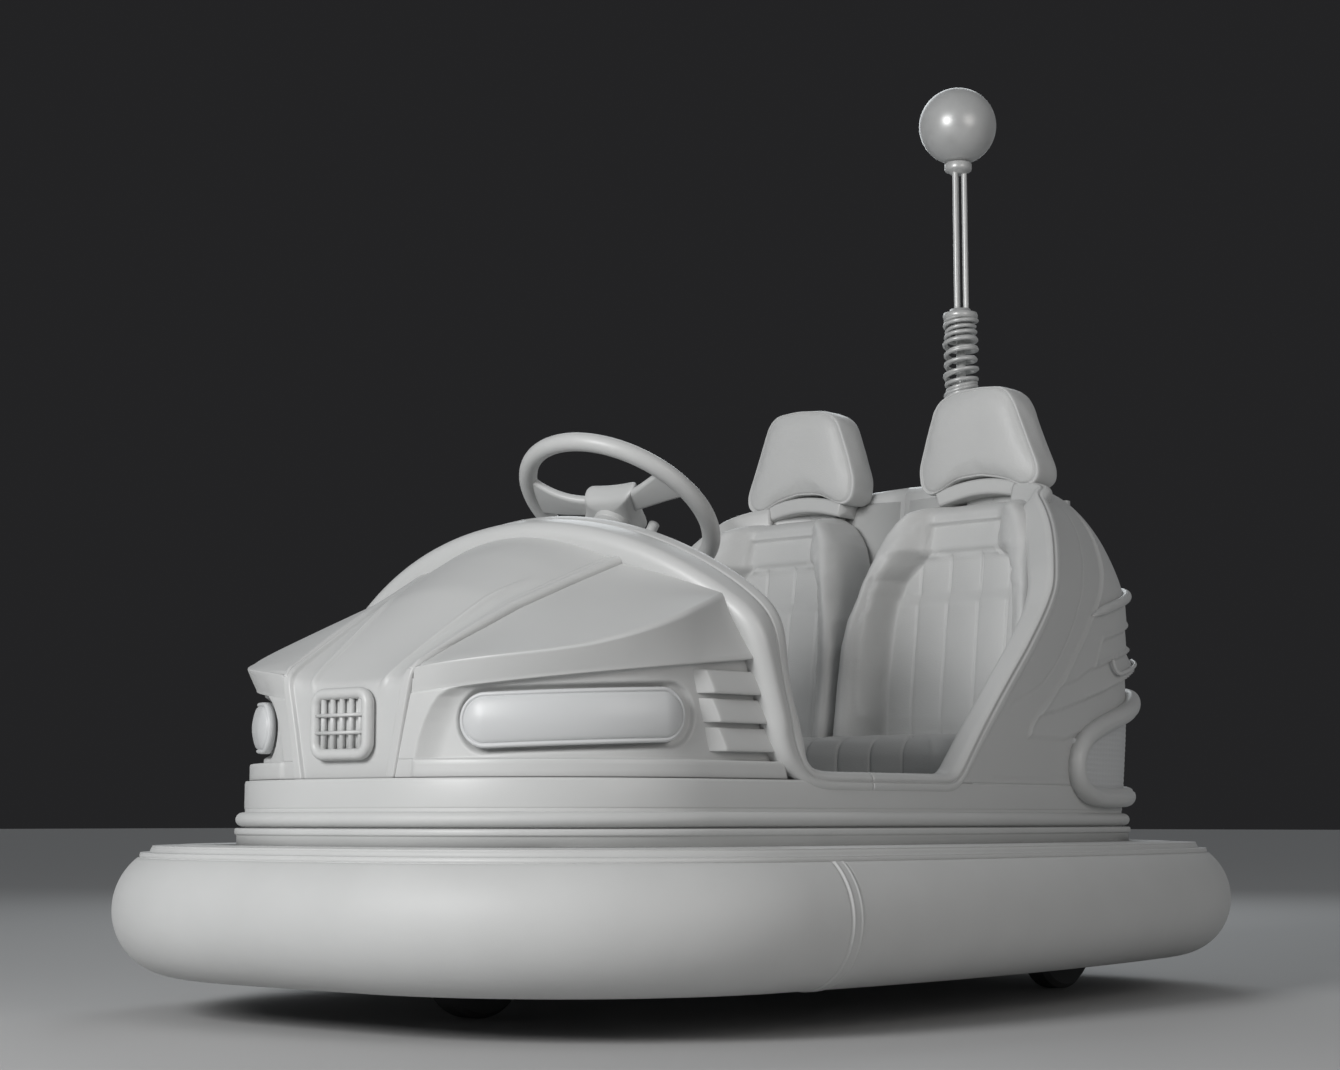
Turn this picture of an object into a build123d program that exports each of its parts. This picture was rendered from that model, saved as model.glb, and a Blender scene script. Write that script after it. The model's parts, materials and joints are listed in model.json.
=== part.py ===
from build123d import *
from collections import namedtuple
from math import cos, hypot, radians, sin, sqrt, tan
import os

# Two-seat fairground bumper car, in millimetres.
# Frame: front towards -Y, left-hand side towards +X, up +Z.
# Origin on the floor, under the centre of the bumper ring.

# ---------------------------------------------------------------- driving dimensions
Outline = namedtuple("Outline", "half_length half_width side_r end_r corner_r centre_y")

# bumper ring, measured on the seam where the tyre meets the deck
SEAM = Outline(half_length=960.0, half_width=641.0, side_r=3900.0, end_r=6000.0, corner_r=470.0, centre_y=0.0)
TYRE_SECTION_R = 100.0
TYRE_CENTRE_IN = 60.0       # section centre, inside the seam
TYRE_CENTRE_Z = 160.0
TYRE_WEB_IN = 112.0         # flat inner face of the tyre, inside the seam
SECTION_CUT = 600.0         # cutting block used to trim the round tyre section
SEAM_Z = 237.0
WEB_T = 6.0
LIP_Z = 78.0
LIP_T = 6.0
LIP_IN = 80.0

# deck and its stepped edge
DECK_T = 8.0
STEP_T = 10.0
STEP_IN = 18.0
STEP_WIDTH = 90.0
DECK_TOP = SEAM_Z + DECK_T + STEP_T

# body shell, measured on the band under the cowl
BODY = Outline(half_length=866.0, half_width=473.0, side_r=3520.0, end_r=6000.0, corner_r=362.0, centre_y=24.0)
TUB_WALL = 24.0
TUB_FLOOR_T = 8.0
BAND_TOP = 352.0
SKIRT_OUT = 12.0
SKIRT_TOP = 272.0
LIP_RING_OUT = 15.0
LIP_RING_TOP = 281.0
BEAD_OUT = 14.0
BEAD_BOTTOM = 283.0
BEAD_TOP = 306.0
BEAD_ROUND = 9.0
GRP_T = 10.0                # skin of the moulded cowl

# cowl: side wall steps, as distance inside the band
LEDGE_IN = 6.0
LEDGE_TOP = 378.0
WALL_IN = 28.0
FLARE_IN = 14.0
FLARE_BOTTOM = 500.0
FLARE_TAPER = 8.0
SPINE_IN = 14.0
COWL_CEILING = 900.0
FLARE_LOW = 479.0           # underside of the side overhang, just behind the nose
FLARE_RISE = 7.2            # the overhang's underside climbs towards the cockpit
FLARE_FOOT = 60.0           # height of overhang stock that the climbing cut removes
NOSE_Y = BODY.centre_y - BODY.half_length
TAIL_Y = BODY.centre_y + BODY.half_length
BEYOND = 700.0              # reach of cutting blocks that pass through the whole body

# fender roof sections: distance behind the nose, ridge x and z, middle x and z, outer x and z
RoofRow = namedtuple("RoofRow", "behind_nose ridge_x ridge_z mid_x mid_z out_x out_z")
FENDER_ROOF = (
    RoofRow(-58.0, 104.0, 494.0, 300.0, 497.0, 500.0, 488.0),
    RoofRow(142.0, 140.0, 580.0, 320.0, 545.0, 500.0, 508.0),
    RoofRow(282.0, 185.0, 665.0, 345.0, 605.0, 500.0, 532.0),
    RoofRow(422.0, 228.0, 730.0, 365.0, 648.0, 500.0, 560.0),
    RoofRow(562.0, 260.0, 775.0, 380.0, 688.0, 500.0, 595.0),
)
# centre spine roof sections: distance behind the nose, spine edge x and z, crown z
SpineRow = namedtuple("SpineRow", "behind_nose edge_x edge_z crown_z")
SPINE_ROOF = (
    SpineRow(-58.0, 106.0, 409.0, 421.0),
    SpineRow(134.0, 138.0, 572.0, 587.0),
    SpineRow(282.0, 185.0, 664.0, 694.0),
    SpineRow(412.0, 225.0, 724.0, 756.0),
    SpineRow(542.0, 262.0, 770.0, 805.0),
)
SPINE_REACH = 290.0
# plan line of the ridge between spine and fender: x, distance behind the nose
SPINE_EDGE = ((110.0, -58.0), (150.0, 172.0), (236.0, 442.0))
RIDGE_BAND_W = 18.0
RIDGE_BAND_H = 6.0

# cockpit arch: it stands in a plane that leans forward
ARCH_FOOT_Y = -335.0
ARCH_FOOT_Z = 337.0
ARCH_LEAN = 15.8
ARCH_FOOT_X = 461.0
ARCH_SHOULDER = (410.0, 335.0)
ARCH_RISE = 438.0
ARCH_CORNER_R = 390.0
ARCH_BAND = 46.0
ARCH_DEPTH = 88.0
ARCH_ROUND = 16.0

# cockpit side opening in side view (y, z), and its moulding
SILL_Z = 333.0
SILL_REAR = (62.0, SILL_Z)
SIDE_RISE = (250.0, 532.0)
SIDE_BEND = (362.0, 622.0)
SIDE_SHOULDER = (428.0, 715.0)
SIDE_TOP = (470.0, 900.0)
OPENING_CORNER_R = 46.0
OPENING_CEILING = 1300.0
RIM_BAND = 42.0
RIM_OUT = 12.0
RIM_IN = 40.0

# rear shell: height, and how far the plan pulls in from the band
RearRow = namedtuple("RearRow", "z pull_in")
REAR_SHELL = (
    RearRow(BAND_TOP, 0.0),
    RearRow(520.0, -10.0),
    RearRow(690.0, -6.0),
    RearRow(780.0, 58.0),
    RearRow(860.0, 128.0),
    RearRow(918.0, 235.0),
)

# swept wing plates on the rear flanks: thickness, and their lower edge in side view (y, z)
WingRow = namedtuple("WingRow", "thick front_y front_z rear_z")
WINGS = (
    WingRow(3.0, 303.0, 409.0, 500.0),
    WingRow(6.0, 318.0, 466.0, 610.0),
    WingRow(9.0, 377.0, 516.0, 680.0),
)
WING_TIP = (269.0, 433.0)       # y, z of the front point of the leading edge
WING_HEEL = (303.0, 409.0)
WING_MID = (441.0, 558.0)
WING_KNEE = (608.0, 712.0)
WING_TOP = (600.0, 905.0)

# seats
SEAT_X = 208.0
CUSHION_FRONT_Y = 118.0
CUSHION_REAR_Y = 452.0
CUSHION_HALF = 196.0
CUSHION_TOP = 432.0
CUSHION_CORNER_R = 40.0
CUSHION_ROUND = 26.0
BACK_FRONT_Y = 372.0
BACK_DEPTH = 150.0
BACK_FOOT_Z = 436.0
BACK_TOP_Z = 862.0
BACK_SKIRT = 30.0
BACK_RAKE = 8.0
BACK_FOOT_HALF = 200.0
BACK_SHOULDER_HALF = 190.0
BACK_TOP_HALF = 140.0
BACK_SHOULDER = 0.62            # shoulder height as a part of the back's height
BACK_ROUND = 14.0
INSERT_HALF = 112.0
INSERT_DEPTH = 62.0
INSERT_TOP_HALF = 78.0
INSERT_TOP = 0.92
HEADREST_Y = 525.0
HEADREST_DEPTH = 84.0
HEADREST_BOTTOM_Z = 892.0
HEADREST_TOP_Z = 1072.0
HEADREST_BOTTOM_HALF = 129.0
HEADREST_TOP_HALF = 78.0
HEADREST_ARCH = 12.0
HEADREST_CORNER_R = 24.0
HEADREST_ROUND = 14.0
BAY_CLEARANCE = 26.0
BAY_BEHIND = 12.0
BAY_DROP = 70.0
SOFT_GAP = 0.3

# steering
WHEEL_CENTRE = (0.0, -237.0, 801.0)
WHEEL_LEAN = 55.2           # wheel plane from the vertical, top forward
WHEEL_R = 162.0
WHEEL_TUBE_R = 15.0
COLUMN_R = 30.0

# contact mast
MAST_FROM_TAIL = 98.0
MAST_Y = TAIL_Y - MAST_FROM_TAIL
MAST_SEAT_Z = 800.0
MAST_BASE_TOP = 1010.0
SPRING_TOP = 1286.0
SPRING_R = 36.0
SPRING_COILS = 12
ROD_R = 6.0
ROD_CIRCLE_R = 11.0
COLLAR_Z = 1586.0
COLLAR_H = 16.0
COLLAR_R = 26.0
BALL_R = 77.0
BALL_Z = 1678.0

# running gear
WHEEL_RADIUS = 100.0
TREAD_WIDTH = 46.0
HUB_RADIUS = 66.0
AXLE_R = 10.0
RUNNING_FIT = 0.05
SIDE_GAP = 2.0
REAR_AXLE_Y = 560.0
REAR_WHEEL_X = 330.0
DRIVE_Y = -560.0
RAIL_X = 230.0
RAIL_W = 50.0
RAIL_H = 40.0
RAIL_END_GAP = 160.0        # from the seam's end to the end of a rail
JACK_PAD = (44.0, 70.0, 6.0)
JACK_PAD_Y = (-250.0, 300.0)

# headlamp, louvres and grille
LAMP_X = 330.0
LAMP_FROM_NOSE = 142.0
LAMP_Y = NOSE_Y + LAMP_FROM_NOSE
LAMP_Z = 436.0
LAMP_TURN = 52.0            # which way the lamp faces, from straight ahead
LAMP_LENGTH = 330.0
LAMP_HEIGHT = 78.0
LAMP_TILT = 2.0
LAMP_REACH = 200.0
LAMP_SUNK = 8.0
LAMP_DISH_RIM = 15.0
LAMP_DISH_DEPTH = 6.0
LOUVRES = 3
LOUVRE_LOW_Z = 391.0
LOUVRE_PITCH = 41.0
LOUVRE_H = 34.0
LOUVRE_FRONT_Y = -457.0     # front end of the lowest louvre
LOUVRE_LENGTH = 120.0
LOUVRE_OUT = 11.0
GRILLE_BACKED = 6.0         # how far the grille stock starts behind the nose face
GRILLE_FACE_Y = NOSE_Y + SPINE_IN + GRILLE_BACKED
GRILLE_Z = 430.0
GRILLE_W = 128.0
GRILLE_H = 98.0
GRILLE_ROUND = 30.0
GRILLE_FRAME = 14.0
GRILLE_PROUD = 22.0
GRILLE_SOFT = 5.0
GRILLE_SLATS = 5
GRILLE_SLAT_PITCH = 19.0
GRILLE_SLAT_W = 9.0
GRILLE_SLAT_OUT = 10.0
GRILLE_BARS = 2
GRILLE_BAR_PITCH = 26.0
GRILLE_BAR_W = 6.0
GRILLE_BAR_OUT = 16.0

# inside the cockpit
DASH_T = 10.0
DASH_BOTTOM = 560.0
BULKHEAD_T = 8.0
SEAT_BOX_Z = 300.0
SEAT_BOX_IN = 20.0
NECK_WIDTH = 120.0
NECK_INSET = 10.0
SPOKE_T = 10.0
SPOKE_HUB_W = 34.0
SPOKE_RIM_W = 74.0
SPOKE_LIFT = 20.0           # the two upper spokes rise this far above level
PAD_CORNER_R = 70.0
PAD_WAIST_R = 42.0
PAD_T = 30.0
STEER_HUB_DEPTH = 40.0
COLUMN_CLEARANCE = 0.3
COLUMN_END_GAP = 0.3
PEDAL_W = 60.0
PEDAL_L = 130.0
PEDAL_T = 12.0
PEDAL_FOOT = (24.0, 20.0)
PEDAL_SEAT = 8.0
CROSS_MEMBERS = (-330.0, 130.0)
CROSS_IN = 20.0
CROSS_REAR_IN = 100.0
PIVOT_CLEARANCE = 1.0
KINGPIN_GAP = 1.0
MOTOR_RAISE = 10.0
HUB_W = 50.0
TREAD_CHAMFER = 8.0
AXLE_TUBE_R = 17.0
HANGER_T = 12.0
HANGER_TOP_HALF = 60.0
MAST_CONE_H = 90.0

# rear lamp and trims
REAR_LAMP_X = 400.0
REAR_LAMP_FROM_TAIL = 290.0
REAR_LAMP_TURN = 118.0
REAR_LAMP_LOW = 330.0
REAR_LAMP_FRONT = 175.0     # from the lamp's middle to its front end
REAR_LAMP_REAR = 200.0
REAR_LAMP_FRONT_TOP = 424.0
REAR_LAMP_REAR_TOP = 500.0
REAR_LAMP_ROUND = 46.0
REAR_LAMP_FRAME = 28.0
REAR_LAMP_OUT = 24.0
REAR_LENS_OUT = 11.0

# mast details
MAST_FLANGE_R = 60.0
MAST_TUBE_R = 24.0
SPRING_WIRE_R = 6.0
CAP_H = 24.0
CAP_R = 34.0
ROD_COUNT = 3

# drive unit
FORK_TOP_Z = 226.0
FORK_TOP_T = 10.0
FORK_HALF = 100.0
FORK_PLATE_R = 90.0
FORK_CHEEK_X = 30.0
FORK_CHEEK_T = 8.0
FORK_CHEEK_W = 60.0
KINGPIN_R = 20.0
MOTOR_R = 62.0
MOTOR_LENGTH = 92.0
HANGER_W = 30.0
MOTOR_CHAMFER = 10.0
GEARBOX_ROUND = 12.0
GEARBOX = (110.0, 120.0, 70.0)
PEDAL_X = 120.0
PEDAL_FROM_NOSE = 242.0
PEDAL_ANGLE = 38.0


# ---------------------------------------------------------------- shared shapes
def grown(outline, distance):
    """The outline parallel to this one, the given distance outside it."""
    return Outline(outline.half_length + distance, outline.half_width + distance, outline.side_r + distance,
                   outline.end_r + distance, outline.corner_r + distance, outline.centre_y)


def plan(outline, z):
    """Closed plan face at height z: two side arcs and two end arcs, with rounded corners."""
    side_x = outline.half_width - outline.side_r
    end_y = outline.half_length - outline.end_r
    span = hypot(side_x, end_y)
    along = (span ** 2 + outline.side_r ** 2 - outline.end_r ** 2) / (2 * span)
    across = sqrt(outline.side_r ** 2 - along ** 2)
    ux, uy = -side_x / span, end_y / span
    x = side_x + ux * along - uy * across
    y = uy * along + ux * across
    with BuildSketch(Plane(origin=(0, outline.centre_y, z))) as face:
        with BuildLine():
            ThreePointArc((-x, y), (0, outline.half_length), (x, y))
            ThreePointArc((x, y), (outline.half_width, 0), (x, -y))
            ThreePointArc((x, -y), (0, -outline.half_length), (-x, -y))
            ThreePointArc((-x, -y), (-outline.half_width, 0), (-x, y))
        make_face()
        fillet(face.vertices(), outline.corner_r)
    return face.sketch


def arch_y(z, behind=0.0):
    """Where the leaning arch plane, or one the given distance behind it, stands at height z."""
    lean = radians(ARCH_LEAN)
    return ARCH_FOOT_Y + behind / cos(lean) - (z - ARCH_FOOT_Z) * tan(lean)


def side_opening_face(shrink):
    """Flat outline of the cockpit opening seen from the side, pulled in over its sill and rear edge."""
    half = ARCH_DEPTH / 2
    sill = SILL_Z + shrink
    rise = (SIDE_RISE[0] - shrink, SIDE_RISE[1])
    bend = (SIDE_BEND[0] - shrink, SIDE_BEND[1])
    shoulder = (SIDE_SHOULDER[0] - shrink, SIDE_SHOULDER[1])
    top = (SIDE_TOP[0] - shrink, SIDE_TOP[1])
    with BuildSketch() as face:
        with BuildLine():
            Polyline(
                shoulder,
                top,
                (top[0], OPENING_CEILING),
                (arch_y(OPENING_CEILING, half), OPENING_CEILING),
                (arch_y(sill, half), sill),
                (SILL_REAR[0] - shrink / 2, sill),
                rise,
            )
            ThreePointArc(rise, bend, shoulder)
        make_face()
        fillet(face.vertices().group_by(Axis.Y)[0], OPENING_CORNER_R)
    return face.sketch


def side_x(outline, y):
    """Half-width of the outline at station y, along its side arc."""
    return outline.half_width - outline.side_r + sqrt(outline.side_r ** 2 - (y - outline.centre_y) ** 2)


def tapered_wall(inside, z, taper):
    """Solid inside the body outline from height z up to the cowl ceiling, leaning in by taper degrees."""
    top_inside = inside + (COWL_CEILING - z) * tan(radians(taper))
    with BuildPart() as wall:
        for height, distance in ((z, inside), (COWL_CEILING, top_inside)):
            with BuildSketch(Plane.XY.offset(height)):
                add(plan(grown(BODY, -distance), 0))
        loft(ruled=True)
    return wall.part


def ridge_strip(inner):
    """Plan face between the two ridge lines, pulled in from them by the given distance."""
    front, middle, back = [(x - inner, NOSE_Y + behind_nose) for x, behind_nose in SPINE_EDGE]
    with BuildSketch(Plane.XY.offset(BAND_TOP)) as strip:
        with BuildLine():
            ThreePointArc(front, middle, back)
            Line(back, (-back[0], back[1]))
            ThreePointArc((-back[0], back[1]), (-middle[0], middle[1]), (-front[0], front[1]))
            Line((-front[0], front[1]), front)
        make_face()
    return strip.sketch


# masses that several body panels are cut from
with BuildPart() as spine_region:
    add(ridge_strip(0))
    extrude(amount=COWL_CEILING - BAND_TOP)

with BuildPart() as fender_roof:
    for row in FENDER_ROOF:
        with BuildSketch(Plane.XZ.offset(-NOSE_Y - row.behind_nose)):
            with BuildLine():
                Polyline((0, row.ridge_z), (0, LIP_RING_TOP), (row.out_x, LIP_RING_TOP), (row.out_x, row.out_z))
                ThreePointArc((row.out_x, row.out_z), (row.mid_x, row.mid_z), (row.ridge_x, row.ridge_z))
                Line((row.ridge_x, row.ridge_z), (0, row.ridge_z))
            make_face()
    loft()

with BuildPart() as spine_roof:
    for row in SPINE_ROOF:
        reach_z = row.crown_z - (row.crown_z - row.edge_z) * (SPINE_REACH / row.edge_x) ** 2
        with BuildSketch(Plane.XZ.offset(-NOSE_Y - row.behind_nose)):
            with BuildLine():
                Polyline((-SPINE_REACH, reach_z), (-SPINE_REACH, 0), (SPINE_REACH, 0), (SPINE_REACH, reach_z))
                ThreePointArc((SPINE_REACH, reach_z), (0, row.crown_z), (-SPINE_REACH, reach_z))
            make_face()
    loft()

# everything in front of the arch
with BuildPart() as front_space:
    with BuildSketch(Plane.YZ):
        with BuildLine():
            Polyline(
                (NOSE_Y - BEYOND, BAND_TOP),
                (arch_y(BAND_TOP, -ARCH_DEPTH / 2), BAND_TOP),
                (arch_y(COWL_CEILING, -ARCH_DEPTH / 2), COWL_CEILING),
                (NOSE_Y - BEYOND, COWL_CEILING),
                close=True,
            )
        make_face()
    extrude(amount=BEYOND, both=True)


def rear_loft(outside, drop=0.0):
    """Rear shell mass, grown outwards by the given distance and lowered above its foot."""
    with BuildPart() as mass:
        for row in REAR_SHELL:
            with BuildSketch(Plane.XY.offset(row.z - (drop if row.z > BAND_TOP else 0))):
                add(plan(grown(BODY, outside - row.pull_in), 0))
        loft()
    return mass.part


rear_mass = rear_loft(0)
rear_core = rear_loft(-GRP_T, GRP_T)
back_space = rear_loft(-RIM_IN, GRP_T)

with BuildPart() as tub_void:
    extrude(plan(grown(BODY, -TUB_WALL), DECK_TOP + TUB_FLOOR_T), amount=BAND_TOP - DECK_TOP - TUB_FLOOR_T)

with BuildPart() as cockpit_space:
    with BuildSketch(Plane.YZ):
        add(side_opening_face(0))
    extrude(amount=BEYOND, both=True)

# ---------------------------------------------------------------- base
with BuildPart() as bumper_tyre:
    path = plan(SEAM, TYRE_CENTRE_Z).face().outer_wire()
    start = path @ 0
    forward = path % 0
    outward = forward.cross(Vector(0, 0, 1))
    if outward.dot(start) < 0:
        outward = outward * -1
    with BuildSketch(Plane(origin=start, x_dir=outward, z_dir=forward)) as section:
        upward = 1 if section.workplanes[0].y_dir.Z > 0 else -1
        half_cut = SECTION_CUT / 2
        with Locations((-TYRE_CENTRE_IN, 0)):
            Circle(TYRE_SECTION_R)
        with Locations((0, upward * (SEAM_Z - TYRE_CENTRE_Z + half_cut))):
            Rectangle(SECTION_CUT, SECTION_CUT, mode=Mode.SUBTRACT)
        with Locations((-TYRE_WEB_IN - half_cut, 0)):
            Rectangle(SECTION_CUT, SECTION_CUT, mode=Mode.SUBTRACT)
        with Locations((-LIP_IN - half_cut, upward * (LIP_Z + LIP_T - TYRE_CENTRE_Z - half_cut))):
            Rectangle(SECTION_CUT, SECTION_CUT, mode=Mode.SUBTRACT)
    sweep(path=path)

with BuildPart() as bumper_channel:
    extrude(plan(grown(SEAM, -TYRE_WEB_IN), LIP_Z), amount=SEAM_Z - LIP_Z)
    extrude(plan(grown(SEAM, -LIP_IN), LIP_Z), amount=LIP_T)
    extrude(plan(grown(SEAM, -TYRE_WEB_IN - WEB_T), LIP_Z), amount=SEAM_Z - LIP_Z, mode=Mode.SUBTRACT)

with BuildPart() as deck_plate:
    extrude(plan(SEAM, SEAM_Z), amount=DECK_T)
    extrude(plan(grown(SEAM, -STEP_IN), SEAM_Z + DECK_T), amount=STEP_T)

with BuildPart() as base_skirt:
    extrude(plan(grown(BODY, SKIRT_OUT), DECK_TOP), amount=SKIRT_TOP - DECK_TOP)
    extrude(plan(grown(BODY, LIP_RING_OUT), SKIRT_TOP), amount=LIP_RING_TOP - SKIRT_TOP)
    extrude(plan(BODY, DECK_TOP), amount=LIP_RING_TOP - DECK_TOP, mode=Mode.SUBTRACT)

with BuildPart() as base_bead:
    extrude(plan(grown(BODY, BEAD_OUT), BEAD_BOTTOM), amount=BEAD_TOP - BEAD_BOTTOM)
    fillet(base_bead.edges().group_by(Axis.Z)[0] + base_bead.edges().group_by(Axis.Z)[-1], BEAD_ROUND)
    extrude(plan(BODY, BEAD_BOTTOM), amount=BEAD_TOP - BEAD_BOTTOM, mode=Mode.SUBTRACT)

# ---------------------------------------------------------------- cowl
# headlamp: a long pill on the curved corner, seen along its own facing direction
lamp_turn = radians(LAMP_TURN)
LAMP_FACING = Plane(
    origin=(LAMP_X, LAMP_Y, LAMP_Z),
    x_dir=(cos(lamp_turn), sin(lamp_turn), 0),
    z_dir=(sin(lamp_turn), -cos(lamp_turn), 0),
)


def lamp_prism(grow):
    """Pill along the lamp's facing direction, long enough to pass through the side wall."""
    with BuildPart() as prism:
        with BuildSketch(LAMP_FACING):
            SlotOverall(LAMP_LENGTH + 2 * grow, LAMP_HEIGHT + 2 * grow, rotation=LAMP_TILT)
        extrude(amount=LAMP_REACH, both=True)
    return prism.part


with BuildPart() as spine_core:
    extrude(plan(grown(BODY, -SPINE_IN - GRP_T), BAND_TOP), amount=COWL_CEILING - BAND_TOP)
    add(spine_roof.part.moved(Location((0, 0, -GRP_T))), mode=Mode.INTERSECT)

with BuildPart() as spine_bands:
    extrude(plan(grown(BODY, RIDGE_BAND_H - SPINE_IN), BAND_TOP), amount=COWL_CEILING - BAND_TOP)
    add(spine_region.part, mode=Mode.INTERSECT)
    extrude(ridge_strip(RIDGE_BAND_W), amount=COWL_CEILING - BAND_TOP, mode=Mode.SUBTRACT)
    add(spine_roof.part.moved(Location((0, 0, RIDGE_BAND_H))), mode=Mode.INTERSECT)

with BuildPart() as nose_spine:
    extrude(plan(grown(BODY, -SPINE_IN), BAND_TOP), amount=COWL_CEILING - BAND_TOP)
    add(spine_region.part, mode=Mode.INTERSECT)
    add(spine_roof.part, mode=Mode.INTERSECT)
    add(spine_bands.part)
    add(front_space.part, mode=Mode.INTERSECT)
    add(spine_core.part, mode=Mode.SUBTRACT)

with BuildPart() as fender_core:
    extrude(plan(grown(BODY, -WALL_IN - GRP_T), BAND_TOP), amount=FLARE_BOTTOM - BAND_TOP)
    add(tapered_wall(WALL_IN + GRP_T, FLARE_BOTTOM, FLARE_TAPER))
    add(fender_roof.part.moved(Location((0, 0, -GRP_T))), mode=Mode.INTERSECT)

# overhang above the lamp: its underside climbs towards the cockpit
flare_rise = radians(FLARE_RISE)
with BuildPart() as flare:
    add(tapered_wall(FLARE_IN, FLARE_LOW, FLARE_TAPER))
    split(
        bisect_by=Plane(origin=(0, LAMP_Y, FLARE_LOW + LAMP_FROM_NOSE * tan(flare_rise)), x_dir=(1, 0, 0),
                        z_dir=(0, -sin(flare_rise), cos(flare_rise))),
        keep=Keep.TOP,
    )

with BuildPart() as lamp_dish:
    add(lamp_prism(LAMP_DISH_RIM))
    extrude(plan(grown(BODY, -WALL_IN - LAMP_DISH_DEPTH), BAND_TOP), amount=COWL_CEILING - BAND_TOP,
            mode=Mode.SUBTRACT)

with BuildPart() as louvres:
    for row in range(LOUVRES):
        low = LOUVRE_LOW_Z + row * LOUVRE_PITCH
        front_y = LOUVRE_FRONT_Y + arch_y(low) - arch_y(LOUVRE_LOW_Z)
        rear_y = front_y + LOUVRE_LENGTH
        near_end = Vector(side_x(grown(BODY, -WALL_IN), front_y), front_y, low)
        far_end = Vector(side_x(grown(BODY, -WALL_IN), rear_y), rear_y, low)
        along = (far_end - near_end).normalized()
        with BuildSketch(Plane(origin=near_end, x_dir=along.cross(Vector(0, 0, 1)), z_dir=along * -1)):
            with BuildLine():
                Polyline((-GRP_T / 2, 0), (LOUVRE_OUT, 0), (0, LOUVRE_H), (-GRP_T / 2, LOUVRE_H), close=True)
            make_face()
        extrude(amount=-LOUVRE_LENGTH)

with BuildPart() as fender_left:
    extrude(plan(grown(BODY, -LEDGE_IN), BAND_TOP), amount=LEDGE_TOP - BAND_TOP)
    extrude(plan(grown(BODY, -WALL_IN), LEDGE_TOP), amount=FLARE_BOTTOM + FLARE_FOOT - LEDGE_TOP)
    add(louvres.part)
    add(flare.part)
    add(fender_roof.part, mode=Mode.INTERSECT)
    add(front_space.part, mode=Mode.INTERSECT)
    add(spine_region.part, mode=Mode.SUBTRACT)
    add(fender_core.part, mode=Mode.SUBTRACT)
    add(lamp_dish.part, mode=Mode.SUBTRACT)
    add(lamp_prism(SOFT_GAP), mode=Mode.SUBTRACT)

with BuildPart() as headlamp_left:
    extrude(plan(grown(BODY, -WALL_IN - LAMP_SUNK), LEDGE_TOP), amount=FLARE_BOTTOM - LEDGE_TOP)
    extrude(plan(grown(BODY, -WALL_IN - LAMP_SUNK - GRP_T), LEDGE_TOP), amount=FLARE_BOTTOM - LEDGE_TOP,
            mode=Mode.SUBTRACT)
    add(lamp_prism(0), mode=Mode.INTERSECT)

with BuildPart() as grille:
    with BuildSketch(Plane.XZ.offset(-GRILLE_FACE_Y)):
        with Locations((0, GRILLE_Z)):
            RectangleRounded(GRILLE_W, GRILLE_H, GRILLE_ROUND)
    extrude(amount=GRILLE_PROUD)
    fillet(grille.faces().sort_by(Axis.Y)[0].edges(), GRILLE_SOFT)
    with BuildSketch(Plane.XZ.offset(-GRILLE_FACE_Y)):
        with Locations((0, GRILLE_Z)):
            RectangleRounded(
                GRILLE_W - 2 * GRILLE_FRAME,
                GRILLE_H - 2 * GRILLE_FRAME,
                GRILLE_ROUND - GRILLE_FRAME / 2,
            )
    extrude(amount=GRILLE_PROUD, mode=Mode.SUBTRACT)
    with BuildSketch(Plane.XZ.offset(-GRILLE_FACE_Y)):
        with Locations((0, GRILLE_Z)):
            with GridLocations(GRILLE_SLAT_PITCH, 0, GRILLE_SLATS, 1):
                Rectangle(GRILLE_SLAT_W, GRILLE_H - GRILLE_FRAME)
    extrude(amount=GRILLE_SLAT_OUT)
    with BuildSketch(Plane.XZ.offset(-GRILLE_FACE_Y)):
        with Locations((0, GRILLE_Z)):
            with GridLocations(0, GRILLE_BAR_PITCH, 1, GRILLE_BARS):
                Rectangle(GRILLE_W - GRILLE_FRAME, GRILLE_BAR_W)
    extrude(amount=GRILLE_BAR_OUT)
    extrude(plan(grown(BODY, -SPINE_IN), BAND_TOP), amount=COWL_CEILING - BAND_TOP, mode=Mode.SUBTRACT)

# ---------------------------------------------------------------- cockpit
arch_lean = radians(ARCH_LEAN)
ARCH_PLANE = Plane(
    origin=(0, ARCH_FOOT_Y, ARCH_FOOT_Z),
    x_dir=(1, 0, 0),
    z_dir=(0, -cos(arch_lean), -sin(arch_lean)),
)


def arch_face(inside):
    """Arch outline in its leaning plane, pulled in by the given distance."""
    shoulder_x = ARCH_SHOULDER[0] - inside
    shoulder_z = ARCH_SHOULDER[1] - inside
    with BuildSketch(ARCH_PLANE) as face:
        with BuildLine():
            Polyline(
                (-shoulder_x, shoulder_z),
                (-ARCH_FOOT_X + inside, 0),
                (ARCH_FOOT_X - inside, 0),
                (shoulder_x, shoulder_z),
            )
            ThreePointArc((shoulder_x, shoulder_z), (0, ARCH_RISE - inside), (-shoulder_x, shoulder_z))
        make_face()
        upper = face.vertices().sort_by(Axis.Y)[-2:]
        fillet(upper, ARCH_CORNER_R - inside)
    return face.sketch


with BuildPart() as cockpit_arch:
    extrude(arch_face(0), amount=ARCH_DEPTH / 2, both=True)
    fillet(cockpit_arch.faces().sort_by(Axis(ARCH_PLANE.origin, ARCH_PLANE.z_dir))[0].edges(), ARCH_ROUND)
    fillet(cockpit_arch.faces().sort_by(Axis(ARCH_PLANE.origin, ARCH_PLANE.z_dir))[-1].edges(), ARCH_ROUND)
    extrude(arch_face(ARCH_BAND), amount=ARCH_DEPTH, both=True, mode=Mode.SUBTRACT)
    split(bisect_by=Plane.XY.offset(BAND_TOP), keep=Keep.TOP)

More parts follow.
